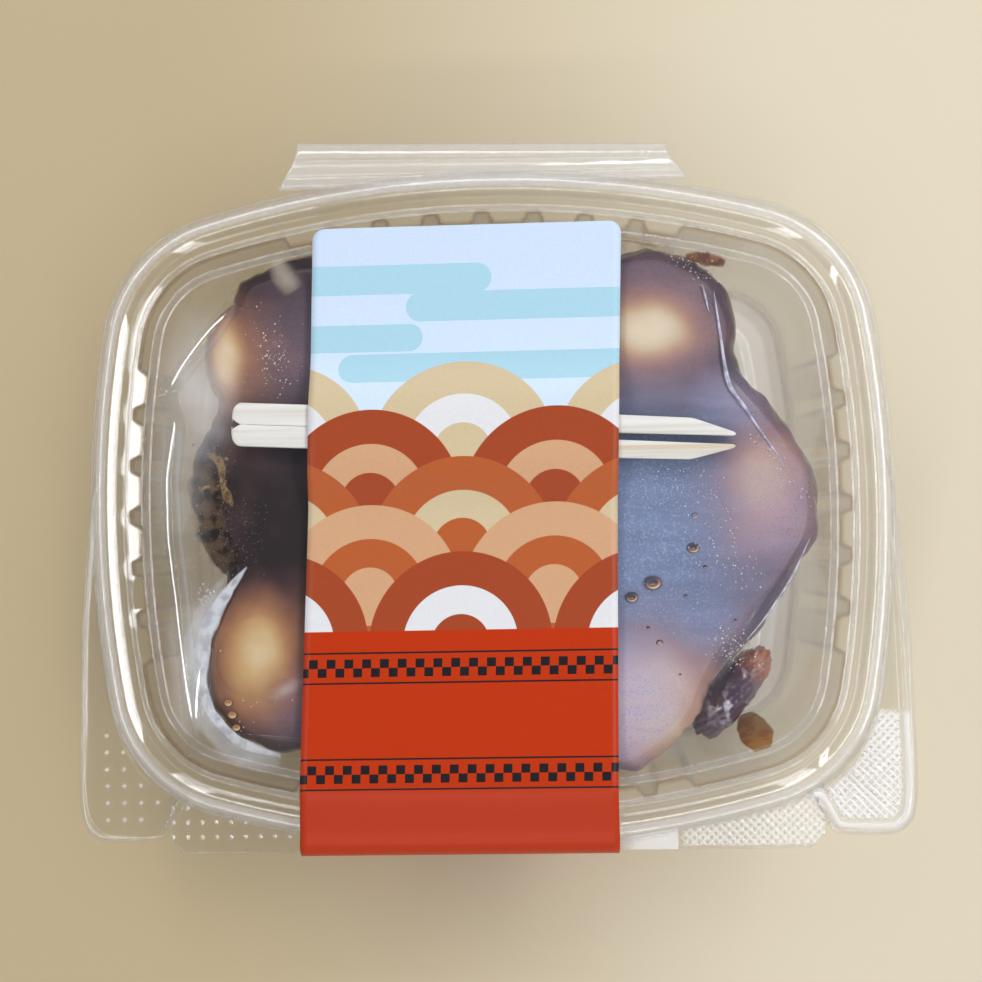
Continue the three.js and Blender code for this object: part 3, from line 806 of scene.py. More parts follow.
@dataclass(frozen=True)
class RimOutline:
    """The rim seen from above: four bowed sides joined smoothly by round corners."""

    half_width: float = 73.5
    half_depth: float = 62.1
    side_radius: float = 203.0
    end_radius: float = 190.0
    corner_radius: float = 26.2
    side_tucks: int = 6
    end_tucks: int = 8

    def corner(self) -> Array:
        """The corner arc's middle, which lies a corner radius inside both of the arcs that it joins."""
        side = np.array([self.half_width - self.side_radius, 0.0])
        end = np.array([0.0, self.half_depth - self.end_radius])
        span = np.linalg.norm(end - side)
        to_side, to_end = self.side_radius - self.corner_radius, self.end_radius - self.corner_radius
        on = (to_side**2 - to_end**2 + span**2) / (2 * span)
        off = math.sqrt(to_side**2 - on**2)
        way = (end - side) / span
        return side + way * on + np.array([-way[1], way[0]]) * off

    def arcs(self) -> list[tuple[Array, float, float, float, int]]:
        """The eight arcs, anticlockwise: each one's middle, radius, first and last angle, and flutes."""
        corner = self.corner()
        side_turn = math.atan2(corner[1], corner[0] - self.half_width + self.side_radius)
        end_turn = math.atan2(corner[0], corner[1] - self.half_depth + self.end_radius)
        found = []
        for quarter in range(4):
            facing = quarter * math.pi / 2
            on_side = quarter % 2 == 0
            way = np.array([round(math.cos(facing)), round(math.sin(facing))])
            half = self.half_width if on_side else self.half_depth
            radius = self.side_radius if on_side else self.end_radius
            turn, after = (side_turn, end_turn) if on_side else (end_turn, side_turn)
            tucks = self.side_tucks if on_side else self.end_tucks
            found.append((way * (half - radius), radius, facing - turn, facing + turn, tucks))
            signs = np.array([1 if quarter in (0, 3) else -1, 1 if quarter < 2 else -1])
            found.append((signs * corner, self.corner_radius, facing + turn, facing + math.pi / 2 - after, 0))
        return found

    def stations(self, count: int) -> Stations:
        """Places count stations at even lengths round the rim."""
        arcs = self.arcs()
        radius = np.array([arc[1] for arc in arcs])
        first, last = np.array([arc[2] for arc in arcs]), np.array([arc[3] for arc in arcs])
        ends = np.cumsum(radius * (last - first))
        at = np.arange(count) * ends[-1] / count
        arc = np.searchsorted(ends, at, side="right")
        angle = last[arc] - (ends[arc] - at) / radius[arc]
        slide = (angle - (first + last)[arc] / 2) * radius[arc]
        middle = np.array([arc[0] for arc in arcs])[arc]
        way = np.stack([np.cos(angle), np.sin(angle)], -1)
        return Stations(middle, way, radius[arc], slide, np.array([arc[4] for arc in arcs])[arc])


# ---- The clear pack ----


@dataclass(frozen=True)
class Patch:
    """A soft-edged spot seen from above: its place, half sizes and how strong it is."""

    x: float
    y: float
    wide: float
    long: float
    most: float

    def weight(self, points: Array) -> Array:
        """most times a bell curve that is flat on top: exp(-(d^2)^1.3), with d in half sizes."""
        square = ((points[..., 0] - self.x) / self.wide) ** 2 + ((points[..., 1] - self.y) / self.long) ** 2
        return self.most * np.exp(-(square**1.3))


# Painted highlights and sheen on the lid's panel, laid on as milky white.
LID_SHEEN_SPOTS = tuple(Patch(*row) for row in (
    (-51.5, 23.0, 6.0, 11.0, 0.24), (-54.5, -26.0, 3.2, 14.0, 0.16), (-56.0, 5.0, 4.0, 12.0, 0.12),
    (-37.2, -32.3, 1.7, 1.1, 0.24),
))


@dataclass(frozen=True)
class Creases:
    """Sharp folds that a knock has left in the lid's panel, each a low rounded ridge along its line."""

    lines: tuple[tuple[tuple[float, float], ...], ...] = (
        ((-44.6, 38.2), (-50.0, 31.6), (-57.4, 22.3)),
        ((-57.4, 22.6), (-55.7, 16.3), (-56.8, 6.6), (-56.6, -4.0), (-55.4, -15.3), (-53.1, -43.4)),
        ((-51.6, -24.0), (-52.6, -34.0), (-53.2, -40.2)),
        ((-54.0, -40.0), (-46.0, -41.2), (-34.0, -42.2)),
    )
    heights: tuple[float, ...] = (0.44, 0.46, 0.36, 0.16)
    width: float = 1.9
    steps: int = 120

    def build(self, finish: Material) -> Object:
        """Makes the folds: height * (1 - d / width)^1.6 across, sinking away at the ends."""
        across = np.linspace(-self.width, self.width, 35)
        roof = (1 - np.abs(across[:, None]) / self.width) ** 1.6
        ends = np.sin(np.linspace(0.0, math.pi, self.steps)) ** 0.35
        grids, faces = [], []
        for line, height in zip(self.lines, self.heights):
            path = evenly(rounded(np.array(line), 1.2, 6), self.steps)
            ridge = height * roof * ends
            grids.append(at_height(path + across[:, None, None] * left_of(path), PANEL_TOP + 0.02 + ridge))
            faces.append(grid_quads(len(across), self.steps)[:, ::-1] + len(faces) * ridge.size)
        piece = make_piece("lid_creases", np.concatenate(grids), faces, finish, Slot.PLASTIC)
        thicken(piece, 0.1)
        return piece


@dataclass(frozen=True)
class Lid:
    """The domed lid, formed from one sheet: bead, gutter, wall, shoulder, step and flat panel."""

    rim: RimOutline
    stations: int = 600
    profile: tuple[tuple[float, float], ...] = (
        (-0.3, 1.4), (0.1, 1.4), (0.7, 2.6), (1.4, 3.05), (2.2, 3.28), (3.1, 3.3), (5.3, 1.75), (6.6, 2.0),
        (7.5, 5.6), (11.0, 5.9), (11.9, 7.2), (12.6, 7.42), (13.8, 7.5),
    )
    # Painted sheen: milky white spots on the panel and a band on the bead's crest, in place of reflections.
    sheen_spots: tuple[Patch, ...] = LID_SHEEN_SPOTS
    bead_sheen: float = 0.16
    bead_middle: float = 2.0
    dent: tuple[float, float] = (-61.0, 4.0)
    dent_size: tuple[float, float] = (6.5, 30.0)
    dent_depth: float = 0.32

    def build(self, finish: Material) -> Object:
        """Makes the lid: rings of the rounded profile, then the panel's own ring shrunk to the middle."""
        stations = self.rim.stations(self.stations)
        profile = rounded(np.array(self.profile), 0.6, 5)
        rings = stations.grid(profile[:, 0], FLANGE_Z + profile[:, 1])
        shares = np.linspace(0.985, 0.03, 18)
        panel = at_height(rings[-1, :, :2] * shares[:, None, None], PANEL_TOP)
        near = (bell(panel[..., k], self.dent[k], self.dent_size[k]) for k in (0, 1))
        fade = smooth_step(1 - shares, 0.0, 0.06)[:, None]
        panel[..., 2] += fade * (0.06 * Ripple(34.0, 3)(panel) - self.dent_depth * math.prod(near))
        points, faces = capped(np.concatenate([rings, panel]), [[0.0, 0.0, PANEL_TOP]])
        piece = make_piece("lid", points, faces, finish, Slot.PLASTIC, ("container",))
        # Painted sheen: milky white on the panel's spots and along the bead's crest.
        sheen_spots = sum(patch.weight(points) for patch in self.sheen_spots)
        frost_and_sheen = sheen_spots * (points[:, 2] > PANEL_TOP - 0.5) * (0.8 + 0.2 * Ripple(6.0, 5)(points))
        crest = self.bead_sheen * bell(profile[:, 0], self.bead_middle, 1.0)
        frost_and_sheen[:rings.size // 3] += np.repeat(crest, self.stations)
        set_attribute(piece, "frost_and_sheen", frost_and_sheen)
        thicken(piece, SHEET)
        return piece


@dataclass(frozen=True)
class Base:
    """The base, formed from one sheet: flange, bead, ledge, fluted wall, foot ring and raised floor."""

    rim: RimOutline
    stations: int = 720
    flute_depth: float = 2.5
    # The sheet's haze and painted light on the floor.
    floor_haze_and_light: float = 0.3
    # Painted shade: a thin dark line along the bend at this place, as wide as fold_width.
    fold: tuple[float, float] = (7.1, 0.3)
    fold_width: float = 0.28
    fold_shade: float = 0.7
    profile: tuple[tuple[float, float, float, float], ...] = (
        (-0.3, 0.0, 0.0, 0.0), (1.4, 0.0, 0.0, 0.0), (2.3, 1.8, 0.0, 0.0), (3.3, 1.8, 0.0, 0.0),
        (4.1, -0.2, 0.0, 0.0), (5.0, -0.05, 0.3, 0.15), (6.5, 0.28, 0.8, 0.4), (7.1, 0.412, 1.0, 0.5),
        (8.9, -5.6, 0.8, 0.0), (10.7, -11.2, 0.5, 0.0), (12.5, -16.8, 0.25, 0.0), (14.3, -22.4, 0.0, 0.0),
        (16.6, -23.75, 0.0, 0.0), (19.6, -23.75, 0.0, 0.0), (21.4, -22.7, 0.0, 0.0), (24.0, -22.7, 0.0, 0.0),
    )

    def build(self, finish: Material) -> Object:
        """Makes the base: rings of the profile, with flutes that fade out down the wall, then the floor."""
        stations = self.rim.stations(self.stations)
        inset, rise, tuck, lift = rounded(np.array(self.profile), 0.6, 4).T
        rings = stations.grid(inset, FLANGE_Z + rise, tuck * self.flute_depth, lift)
        shares = np.array([0.96, 0.85, 0.6, 0.3, 0.06])
        floor = at_height(rings[-1, :, :2] * shares[:, None, None], 0.0)
        floor[..., 2] = rings[-1, 0, 2] + 0.05 * Ripple(30.0, 8)(floor)
        points, faces = capped(np.concatenate([rings, floor]), [[0.0, 0.0, floor[-1, -1, 2]]], flip=True)
        piece = make_piece("base", points, faces, finish, Slot.PLASTIC, ("container",))
        # Painted shade along the bend at the ledge's inner edge.
        apart = np.hypot(inset - self.fold[0], rise - self.fold[1])
        fold = np.zeros(len(points))
        fold[:rings.size // 3] = np.repeat(self.fold_shade * bell(apart, 0.0, self.fold_width), self.stations)
        set_attribute(piece, "fold", fold)
        # The floor's milky white is partly the sheet's haze and partly painted light: stronger towards the
        # right, where the floor stands lighter.
        low, right = smooth_step(-points[:, 2], -4.5, -2.0), smooth_step(points[:, 0], -40.0, 30.0)
        set_attribute(piece, "frost_and_sheen", self.floor_haze_and_light * low * (0.4 + 0.6 * right))
        thicken(piece, SHEET)
        return piece


def pressed(points: Array, relief: Relief, pitch: float) -> Array:
    """The height of what is pressed into the flange, from 0 to 1.

    A knurl is a net of narrow ridges along both diagonals, and dots are the peaks of a square pattern.

    Args:
        points: Points in the plane.
        relief: What is pressed in.
        pitch: The pattern's pitch.

    Returns:
        One height for each point.
    """
    x, y = points[..., 0] * math.pi / pitch, points[..., 1] * math.pi / pitch
    if relief is Relief.KNURL:
        return np.maximum(np.abs(np.cos(x + y)), np.abs(np.cos(x - y))) ** 7
    if relief is Relief.DOTS:
        return smooth_step(np.cos(2 * x) + np.cos(2 * y), 1.62, 1.94)
    return np.zeros(points.shape[:-1])


@dataclass(frozen=True)
class CornerTab:
    """A front corner tab of one sheet, to pull the pack open by: a flat leaf with a raised line round it."""

    rim: RimOutline
    name: str
    side: Side
    z: float
    shrink: float
    line_height: float
    line_width: float
    relief: Relief
    relief_front: float = -37.0
    dot_pitch: float = 3.1
    dot_height: float = 0.1
    line_fades: tuple[float, float] = (64.0, 70.0)
    steps: int = 160
    rows: int = 24

    def outline(self) -> Array:
        """The tab's edge, from where it leaves the side, round the corner and back in to the rim."""
        corners = np.array([
            [72.0, 8.0], [74.0, 3.0], [76.0, -20.0], [76.9, -50.0], [76.4, -57.0], [73.5, -60.0],
            [68.3, -60.2], [63.0, -60.0], [60.9, -59.4], [59.4, -56.6], [58.0, -54.0],
        ])
        edge = evenly(rounded(corners, 3.6, 7), self.steps)
        return edge - left_of(edge) * self.shrink

    def build(self, finish: Material) -> Object:
        """Makes the tab: straight lines from the rim to its edge, raised by the distance from that edge."""
        outer = self.outline()
        ring = self.rim.stations(1600).grid(np.array([SEAM]), np.array([0.0]))[0, :, :2]
        inner = ring[np.linalg.norm(outer[:, None] - ring, axis=-1).argmin(1)]
        share = np.linspace(0, 1, self.rows)[:, None, None]
        plane = inner * (1 - share) + outer * share
        apart = distance_to_line(plane, outer)
        line = bell(apart, 1.6 * self.line_width, self.line_width)
        front = smooth_step(-plane[..., 1], -self.relief_front, 1.5 - self.relief_front)
        area = front * smooth_step(apart, 2.2, 2.8) * smooth_step(share[..., 0], 0.04, 0.14)
        knurled = self.relief is Relief.KNURL
        rough = area * pressed(plane, self.relief, KNURL_PITCH if knurled else self.dot_pitch)
        if not knurled:
            line *= smooth_step(plane[..., 0], *self.line_fades)
        height = self.line_height * line + (KNURL_HEIGHT if knurled else self.dot_height) * rough
        points = at_height(plane * (self.side.value, 1), self.z + height)
        faces = grid_quads(self.rows, self.steps)[:, ::-self.side.value]
        piece = make_piece(self.name, points, [faces], finish, Slot.PLASTIC)
        # Frost where the relief is pressed rough; painted sheen along the raised line.
        frost_and_line_sheen = 0.42 * rough + 0.05 * area + 0.3 * line * front if knurled else 0.22 * rough + 0.1 * line
        set_attribute(piece, "frost_and_sheen", frost_and_line_sheen)
        thicken(piece, SHEET)
        return piece


@dataclass(frozen=True)
class FrontLip:
    """The lip along the base's front edge: knurled on the right and dotted on the left."""

    rim: RimOutline
    front: float = -62.5
    half_span: float = 60.0
    z: float = FLANGE_Z + SHEET
    end_round: float = 2.4
    knurl_start: float = 33.0
    dots_start: float = 34.0
    dot_pitch: float = 2.7
    steps: int = 520
    rows: int = 30

    def build(self, finish: Material) -> Object:
        """Makes the lip: straight lines from the bowed rim to the lip's front edge."""
        x = np.linspace(-self.half_span, self.half_span, self.steps)
        round_off = smooth_step(np.abs(x), self.half_span - 3.0, self.half_span) * self.end_round
        middle = self.rim.end_radius - self.rim.half_depth
        rim_y = middle - np.sqrt((self.rim.end_radius - SEAM) ** 2 - x**2)
        corner = smooth_step(np.abs(x), 50.0, 60.0) * 1.2
        share = np.linspace(0, 1, self.rows)[:, None]
        y = (rim_y + corner) * (1 - share) + np.minimum(self.front + round_off, rim_y + corner - 0.1) * share
        plane = np.stack([np.broadcast_to(x, y.shape), y], -1)
        apart = plane[..., 1] - self.front
        right = smooth_step(plane[..., 0], self.knurl_start, self.knurl_start + 3.0)
        left = smooth_step(-plane[..., 0], self.dots_start, self.dots_start + 1.0)
        knurl = pressed(plane, Relief.KNURL, KNURL_PITCH) * right
        dots = pressed(plane, Relief.DOTS, self.dot_pitch) * left
        rough = (knurl + dots) * smooth_step(apart, 0.5, 0.9) * smooth_step(share, 0.0, 0.2)
        points = at_height(plane, self.z + KNURL_HEIGHT * rough)
        faces = grid_quads(self.rows, self.steps)[:, ::-1]
        piece = make_piece("base_lip", points, [faces], finish, Slot.PLASTIC)
        smooth_band = 0.3 * smooth_step(plane[..., 0], 22.0, 26.0) * (plane[..., 0] < self.knurl_start + 0.5)
        set_attribute(piece, "frost_and_sheen", 0.5 * rough + smooth_band)
        thicken(piece, SHEET)
        return piece


@dataclass(frozen=True)
class Hinge:
    """The strip at the back, where the lid's flange runs into the base's through a fold and low ridges."""

    half_span: float = 34.0
    root_half_span: float = 37.6
    root: float = 60.0
    bend: float = 1.05
    columns: int = 120

    def build(self, finish: Material) -> Object:
        """Makes the strip: one section of the upper leaf, the fold and the lower leaf, carried across."""
        low, high = FLANGE_Z, LID_LEVEL
        section = np.array([
            [self.root, high], [61.5, high], [62.1, high + 0.6], [62.8, high + 0.7], [64.3, high + 0.3],
            [64.7, high + 1.1], [65.2, high + 1.2], [66.2, high + 0.9], [66.6, high + 0.1],
            [HINGE_BACK, high - 0.3], [HINGE_BACK, low + 0.3], [66.6, low], [self.root, low],
        ])
        path = rounded(section, 0.35, 5)
        half = np.interp(path[:, 0], [self.root, 65.0], [self.root_half_span, self.half_span])
        x = half[:, None] * np.linspace(-1, 1, self.columns)
        y, z = (np.broadcast_to(path[:, k, None], x.shape) for k in (0, 1))
        wave = 0.025 * Ripple(9.0, 12)(np.stack([x, y, 0 * z], -1))
        bent = -self.bend * x / self.half_span * smooth_step(y, self.root, HINGE_BACK)
        points = np.stack([x, y + bent, z + wave], -1)
        piece = make_piece("hinge", points, [grid_quads(*x.shape)], finish, Slot.PLASTIC)
        set_attribute(piece, "frost_and_sheen", np.full(points.shape[:2], 0.1))
        thicken(piece, SHEET)
        return piece


# ---- The food ----


@dataclass(frozen=True)
class Dumpling:
    """A soft rice ball, a little flat where the lid presses it, with a top that may lean to the side."""

    x: float
    y: float
    radius: float
    height: float
    lean: tuple[float, float] = (0.0, 0.0)

    @property
    def middle(self) -> float:
        """The height of its middle."""
        return FLOOR_Z + 0.3 + self.height / 2


DUMPLINGS = (
    Dumpling(-38.5, 28.5, 14.0, 28.6, (-4.0, 1.2)),
    Dumpling(-5.0, 31.0, 14.6, 28.7),
    Dumpling(30.5, 31.4, 14.6, 28.8, (1.0, 0.8)),
    Dumpling(-41.8, -1.0, 13.4, 28.4),
    Dumpling(-12.8, 0.6, 14.0, 28.6),
    Dumpling(16.6, -0.4, 14.2, 28.5),
    Dumpling(46.4, 1.7, 14.4, 28.8, (2.4, 1.0)),
    Dumpling(-37.5, -29.7, 14.6, 28.8, (-4.4, 4.6)),
    Dumpling(-5.6, -31.4, 14.2, 28.6),
    Dumpling(25.0, -32.2, 13.4, 28.8, (2.6, -1.0)),
)

PATCHES = tuple(Patch(*row) for row in (
    (-46.6, 28.6, 2.7, 6.2, 0.60), (-45.4, 28.0, 7.6, 12.0, 0.38), (-40.0, 28.0, 13.0, 15.0, 0.10),
    (-41.8, -23.4, 4.4, 6.0, 0.50), (-43.0, -26.0, 9.6, 12.0, 0.52), (-40.0, -28.0, 12.0, 15.0, 0.14),
    (30.0, 31.8, 7.4, 4.8, 0.80), (30.6, 32.2, 10.0, 8.4, 0.40), (28.0, 32.0, 15.0, 15.0, 0.18),
    (49.2, 5.6, 6.2, 7.0, 0.46), (49.5, 1.0, 11.5, 14.0, 0.40), (27.0, -35.0, 9.0, 10.5, 0.62),
    (29.5, -34.0, 12.0, 13.0, 0.45), (30.0, -31.0, 17.0, 16.0, 0.12), (-5.0, 31.0, 8.0, 8.0, 0.8),
    (-12.8, 0.6, 7.0, 7.0, 0.6), (-5.6, -31.4, 8.0, 7.0, 0.7),
))

# Painted sheen: where the pale blue reflection in the lid is laid into the glaze's colour.
SHEEN_PATCHES = tuple(Patch(*row) for row in (
    (29.0, -5.0, 26.0, 28.0, 0.95), (24.0, -34.0, 13.0, 15.0, 1.4), (32.0, 33.0, 17.0, 17.0, 0.36),
    (48.0, 0.0, 14.0, 15.0, 0.8), (43.0, 17.0, 10.0, 8.0, 0.8), (38.0, -20.0, 11.0, 9.0, 0.9),
    (-31.0, 28.0, 12.0, 15.0, 0.24), (-34.0, -36.0, 8.0, 8.0, 0.2),
))


@dataclass(frozen=True)
class Food:
    """The dumplings, set in one blanket of glaze that bridges them and is pressed flat by the lid.

    The edge is the blanket's outermost line from above, and the section its share of that reach by height.
    """

    rim: RimOutline
    dumplings: tuple[Dumpling, ...] = DUMPLINGS
    patches: tuple[Patch, ...] = PATCHES
    sheen_patches: tuple[Patch, ...] = SHEEN_PATCHES
    top: float = PANEL_UNDER - 0.25
    squash: float = 0.7
    usual_reach: float = 40.0
    wall_insets: tuple[float, float] = (10.8, 15.8)
    wall_levels: tuple[float, float, float] = (2.0, 24.0, 31.0)
    wall_shares: tuple[float, float, float] = (1.0, 0.1, 0.45)
    hang: float = 0.4
    uneven: float = 0.04
    columns: int = 720
    edge: tuple[tuple[float, float], ...] = (
        (60.6, 0.6), (59.1, 5.2), (57.1, 10.7), (54.1, 15.3), (50.1, 20.5), (46.5, 24.3), (45.5, 28.5),
        (46.1, 33.8), (45.0, 38.0), (42.6, 42.1), (37.9, 44.9), (32.5, 47.1), (25.5, 46.3), (14.0, 44.5),
        (3.8, 45.5), (-5.4, 46.7), (-16.6, 45.1), (-25.8, 45.7), (-32.0, 47.6), (-36.2, 47.0),
        (-41.5, 44.7), (-44.6, 43.9), (-45.9, 40.2), (-48.0, 36.8), (-51.1, 31.9), (-51.9, 28.8),
        (-51.2, 25.3), (-49.3, 22.4), (-49.4, 19.7), (-52.7, 14.2), (-54.5, 8.6), (-54.4, 3.0),
        (-51.8, -5.5), (-48.8, -8.7), (-47.6, -11.2), (-49.5, -15.8), (-52.1, -20.4), (-53.2, -25.0),
        (-53.5, -28.8), (-52.8, -33.4), (-50.5, -37.1), (-47.2, -40.9), (-43.0, -42.8), (-36.0, -43.9),
        (-22.7, -42.8), (-6.4, -46.3), (9.9, -44.5), (26.4, -48.4), (29.4, -46.0), (32.4, -44.2),
        (36.0, -40.6), (39.3, -33.9), (42.1, -29.1), (45.4, -26.4), (48.6, -23.8), (51.0, -19.3),
        (53.8, -15.6), (56.5, -11.1), (58.8, -7.5), (60.4, -2.1),
    )
    section: tuple[tuple[float, float], ...] = (
        (0.80, 0.0), (0.90, -0.1), (0.955, -0.9), (0.985, -2.6), (1.0, -6.5), (1.0, -14.0), (0.985, -22.0),
        (0.955, -27.6), (0.93, -28.6), (0.8, -28.7),
    )

    def bareness(self, points: Array) -> Array:
        """How bare the dumplings are, from 0 to 1: 1 less the product of what each patch leaves covered."""
        return 1 - np.prod([1 - patch.weight(points) for patch in self.patches], axis=0)

    def outline(self, angle: Array) -> Array:
        """The blanket's reach in each direction, from its edge line, with the corners softened."""
        edge = np.array(self.edge)
        turn, reach = np.arctan2(edge[:, 1], edge[:, 0]), np.hypot(edge[:, 0], edge[:, 1])
        near = np.radians(np.linspace(-1.6, 1.6, 9))
        return np.mean([np.interp(angle + step, turn, reach, period=2 * math.pi) for step in near], axis=0)

    def inside_room(self, points: Array) -> Array:
        """Draws in what lies farther out than the tucked wall and the lid leave room for."""
        rings = self.rim.stations(720).grid(np.array(self.wall_insets), np.zeros(2))
        turn, far = np.arctan2(rings[..., 1], rings[..., 0]), np.hypot(rings[..., 0], rings[..., 1])
        angle = np.arctan2(points[..., 1], points[..., 0])
        wide, narrow = (np.interp(angle, turn[k], far[k], period=2 * math.pi) for k in (0, 1))
        room = wide + (narrow - wide) * np.interp(points[..., 2], self.wall_levels, self.wall_shares)
        share = np.minimum(1.0, room / np.maximum(np.hypot(points[..., 0], points[..., 1]), 1.0))
        return points * np.stack([share, share, np.ones_like(share)], -1)

    def colour_by(self, piece: Object, points: Array) -> None:
        """Gives a piece what its finish reads.

        Its depth is full where no patch is and less low down. The painted sheen, in place of the lid's
        reflection, lies where the top is stuck to the lid, thinner on bare dough and past the contact line,
        and turns violet there.
        """
        bare, height = self.bareness(points), points[..., 2]
        low = smooth_step(-height, -26.0, -8.0) * 0.2
        streak = 0.035 * Ripple(13.0, 31)(points) + 0.02 * Ripple(5.0, 32)(points)
        set_attribute(piece, "depth", np.clip(1 - bare * 1.04 - low + streak, 0, 1))
        stuck = smooth_step(height, self.top - 1.1, self.top - 0.45)
        set_attribute(piece, "stuck", stuck)
        # Painted sheen: pale blue to violet, laid on where the top meets the lid.
        painted_sheen = np.max([patch.weight(points) for patch in self.sheen_patches], axis=0)
        high = smooth_step(height, self.top - 7.0, self.top - 1.5)
        set_attribute(piece, "painted_sheen", painted_sheen * (1 - 0.5 * bare) * (0.6 + 0.4 * stuck) * high)
        beside = 0.75 * smooth_step(points[..., 0], 36.0, 56.0)
        beside += 0.6 * smooth_step(-points[..., 0], -6.0, 10.0)
        away = smooth_step(points[..., 1], 12.0, 30.0) + 0.5 * smooth_step(-points[..., 1], 20.0, 34.0)
        set_attribute(piece, "violet", np.clip(1 - stuck + 0.8 * bare + beside + away, 0, 1))

    def sag(self, points: Array) -> Array:
        """How far the blanket hangs below the lid: more between the dumplings, a trace over them."""
        apart = np.min([np.hypot(points[..., 0] - ball.x, points[..., 1] - ball.y) / ball.radius
                        for ball in self.dumplings], axis=0)
        return self.hang * smooth_step(apart, 0.8, 1.5) + self.uneven * (Ripple(12.0, 21)(points) + 1.6)

    def blanket(self, finish: Material) -> Object:
        """Makes the glaze: its section carried round its edge line, with soft folds down its side."""
        angle, about = around(self.columns), (self.usual_reach, 1.0)
        fold = rounded(np.array(self.section) * about, 2.4, 6) / about
        flat, under = np.linspace(0.012, 0.79, 76), np.array([0.6, 0.3, 0.05])
        share = np.concatenate([flat, fold[:, 0], under])[:, None]
        drop = np.concatenate([0 * flat, fold[:, 1], 0 * under + fold[-1, 1]])[:, None]
        reach = share * self.outline(angle)
        z = np.broadcast_to(self.top + drop, reach.shape)
        grid = np.stack([reach * np.cos(angle), reach * np.sin(angle), z], -1)
        long_way = grid * (1.0, 1.0, 0.3)
        folds = 0.45 * Ripple(9.0, 24)(long_way) + 0.2 * Ripple(3.5, 25)(long_way)
        side = smooth_step(-drop, 0.6, 3.0) * smooth_step(drop, -28.2, -26.0)
        grid[..., :2] *= (1 + side * folds / np.maximum(reach, 20.0))[..., None]
        grid[..., 2] -= self.sag(grid) * smooth_step(drop, -8.0, -0.1)
        grid = self.inside_room(grid)
        ends = [[0.0, 0.0, grid[0, :, 2].mean()], [0.0, 0.0, grid[-1, 0, 2]]]
        points, faces = capped(grid, ends, flip=True)
        piece = make_piece("glaze", points, faces, finish, Slot.GLAZE, ("sauce",))
        self.colour_by(piece, points)
        return piece

    def balls_of_dough(self, finish: Material) -> None:
        """Makes each dumpling: rings with R cos^0.85 and H sin of the latitude, leant and a little uneven.

        A point at z is pressed down by squash ln(1 + exp((z - lid) / squash)), to stay under the lid.
        """
        tilt, angle = latitudes(48), around(72)
        for number, ball in enumerate(self.dumplings, 1):
            out = ball.radius * np.cos(tilt) ** 0.85
            leant = np.sin(tilt).clip(0) ** 1.5
            level = ball.middle + ball.height / 2 * np.sin(tilt) * (1 + 0.25 * leant)
            plane = np.stack([ball.x + ball.lean[0] * leant + out * np.cos(angle),
                              ball.y + ball.lean[1] * leant + out * np.sin(angle)], -1)
            grid = at_height(plane, level)
            middle = np.array([ball.x, ball.y, ball.middle])
            grid = middle + (grid - middle) * (0.995 + 0.01 * Ripple(16.0, 40 + number)(grid))[..., None]
            grid = self.inside_room(grid)
            room = np.exp((self.top - self.sag(grid) + 0.1 - grid[..., 2]) / self.squash)
            grid[..., 2] = np.maximum(grid[..., 2] - self.squash * np.log1p(1 / room), FLOOR_Z + 0.25)
            points, faces = capped(grid)
            name = f"dumpling_{number}"
            piece = make_piece(f"{name}_dough", points, faces, finish, Slot.DOUGH, (name,))
            self.colour_by(piece, points)


def dome(height: float) -> Mesh:
    """A small closed dome of radius 1, which hangs where its height is negative."""
    tilt, angle = np.radians([0.0, 32.0, 64.0])[:, None], around(8)
    plane = np.stack([np.cos(tilt) * np.cos(angle), np.cos(tilt) * np.sin(angle)], -1)
    return capped(at_height(plane, height * np.sin(tilt)), [[0, 0, 0], [0, 0, height]], flip=height < 0)


@dataclass(frozen=True)
class Cluster:
    """A scatter of small round things about a line: how many, how wide and how large."""

    line: tuple[tuple[float, float], ...]
    spread: float
    count: int
    smallest: float
    largest: float

    def scatter(self, rng: np.random.Generator) -> tuple[Array, Array]:
        """Draws places along the line, off it by a bell curve, and radii that are mostly small."""
        line = evenly(np.array(self.line, float), 64)
        on = line[rng.integers(0, 64, self.count)]
        radii = self.smallest + (self.largest - self.smallest) * rng.uniform(0, 1, self.count) ** 3
        return on + rng.normal(0, self.spread, (self.count, 2)), radii


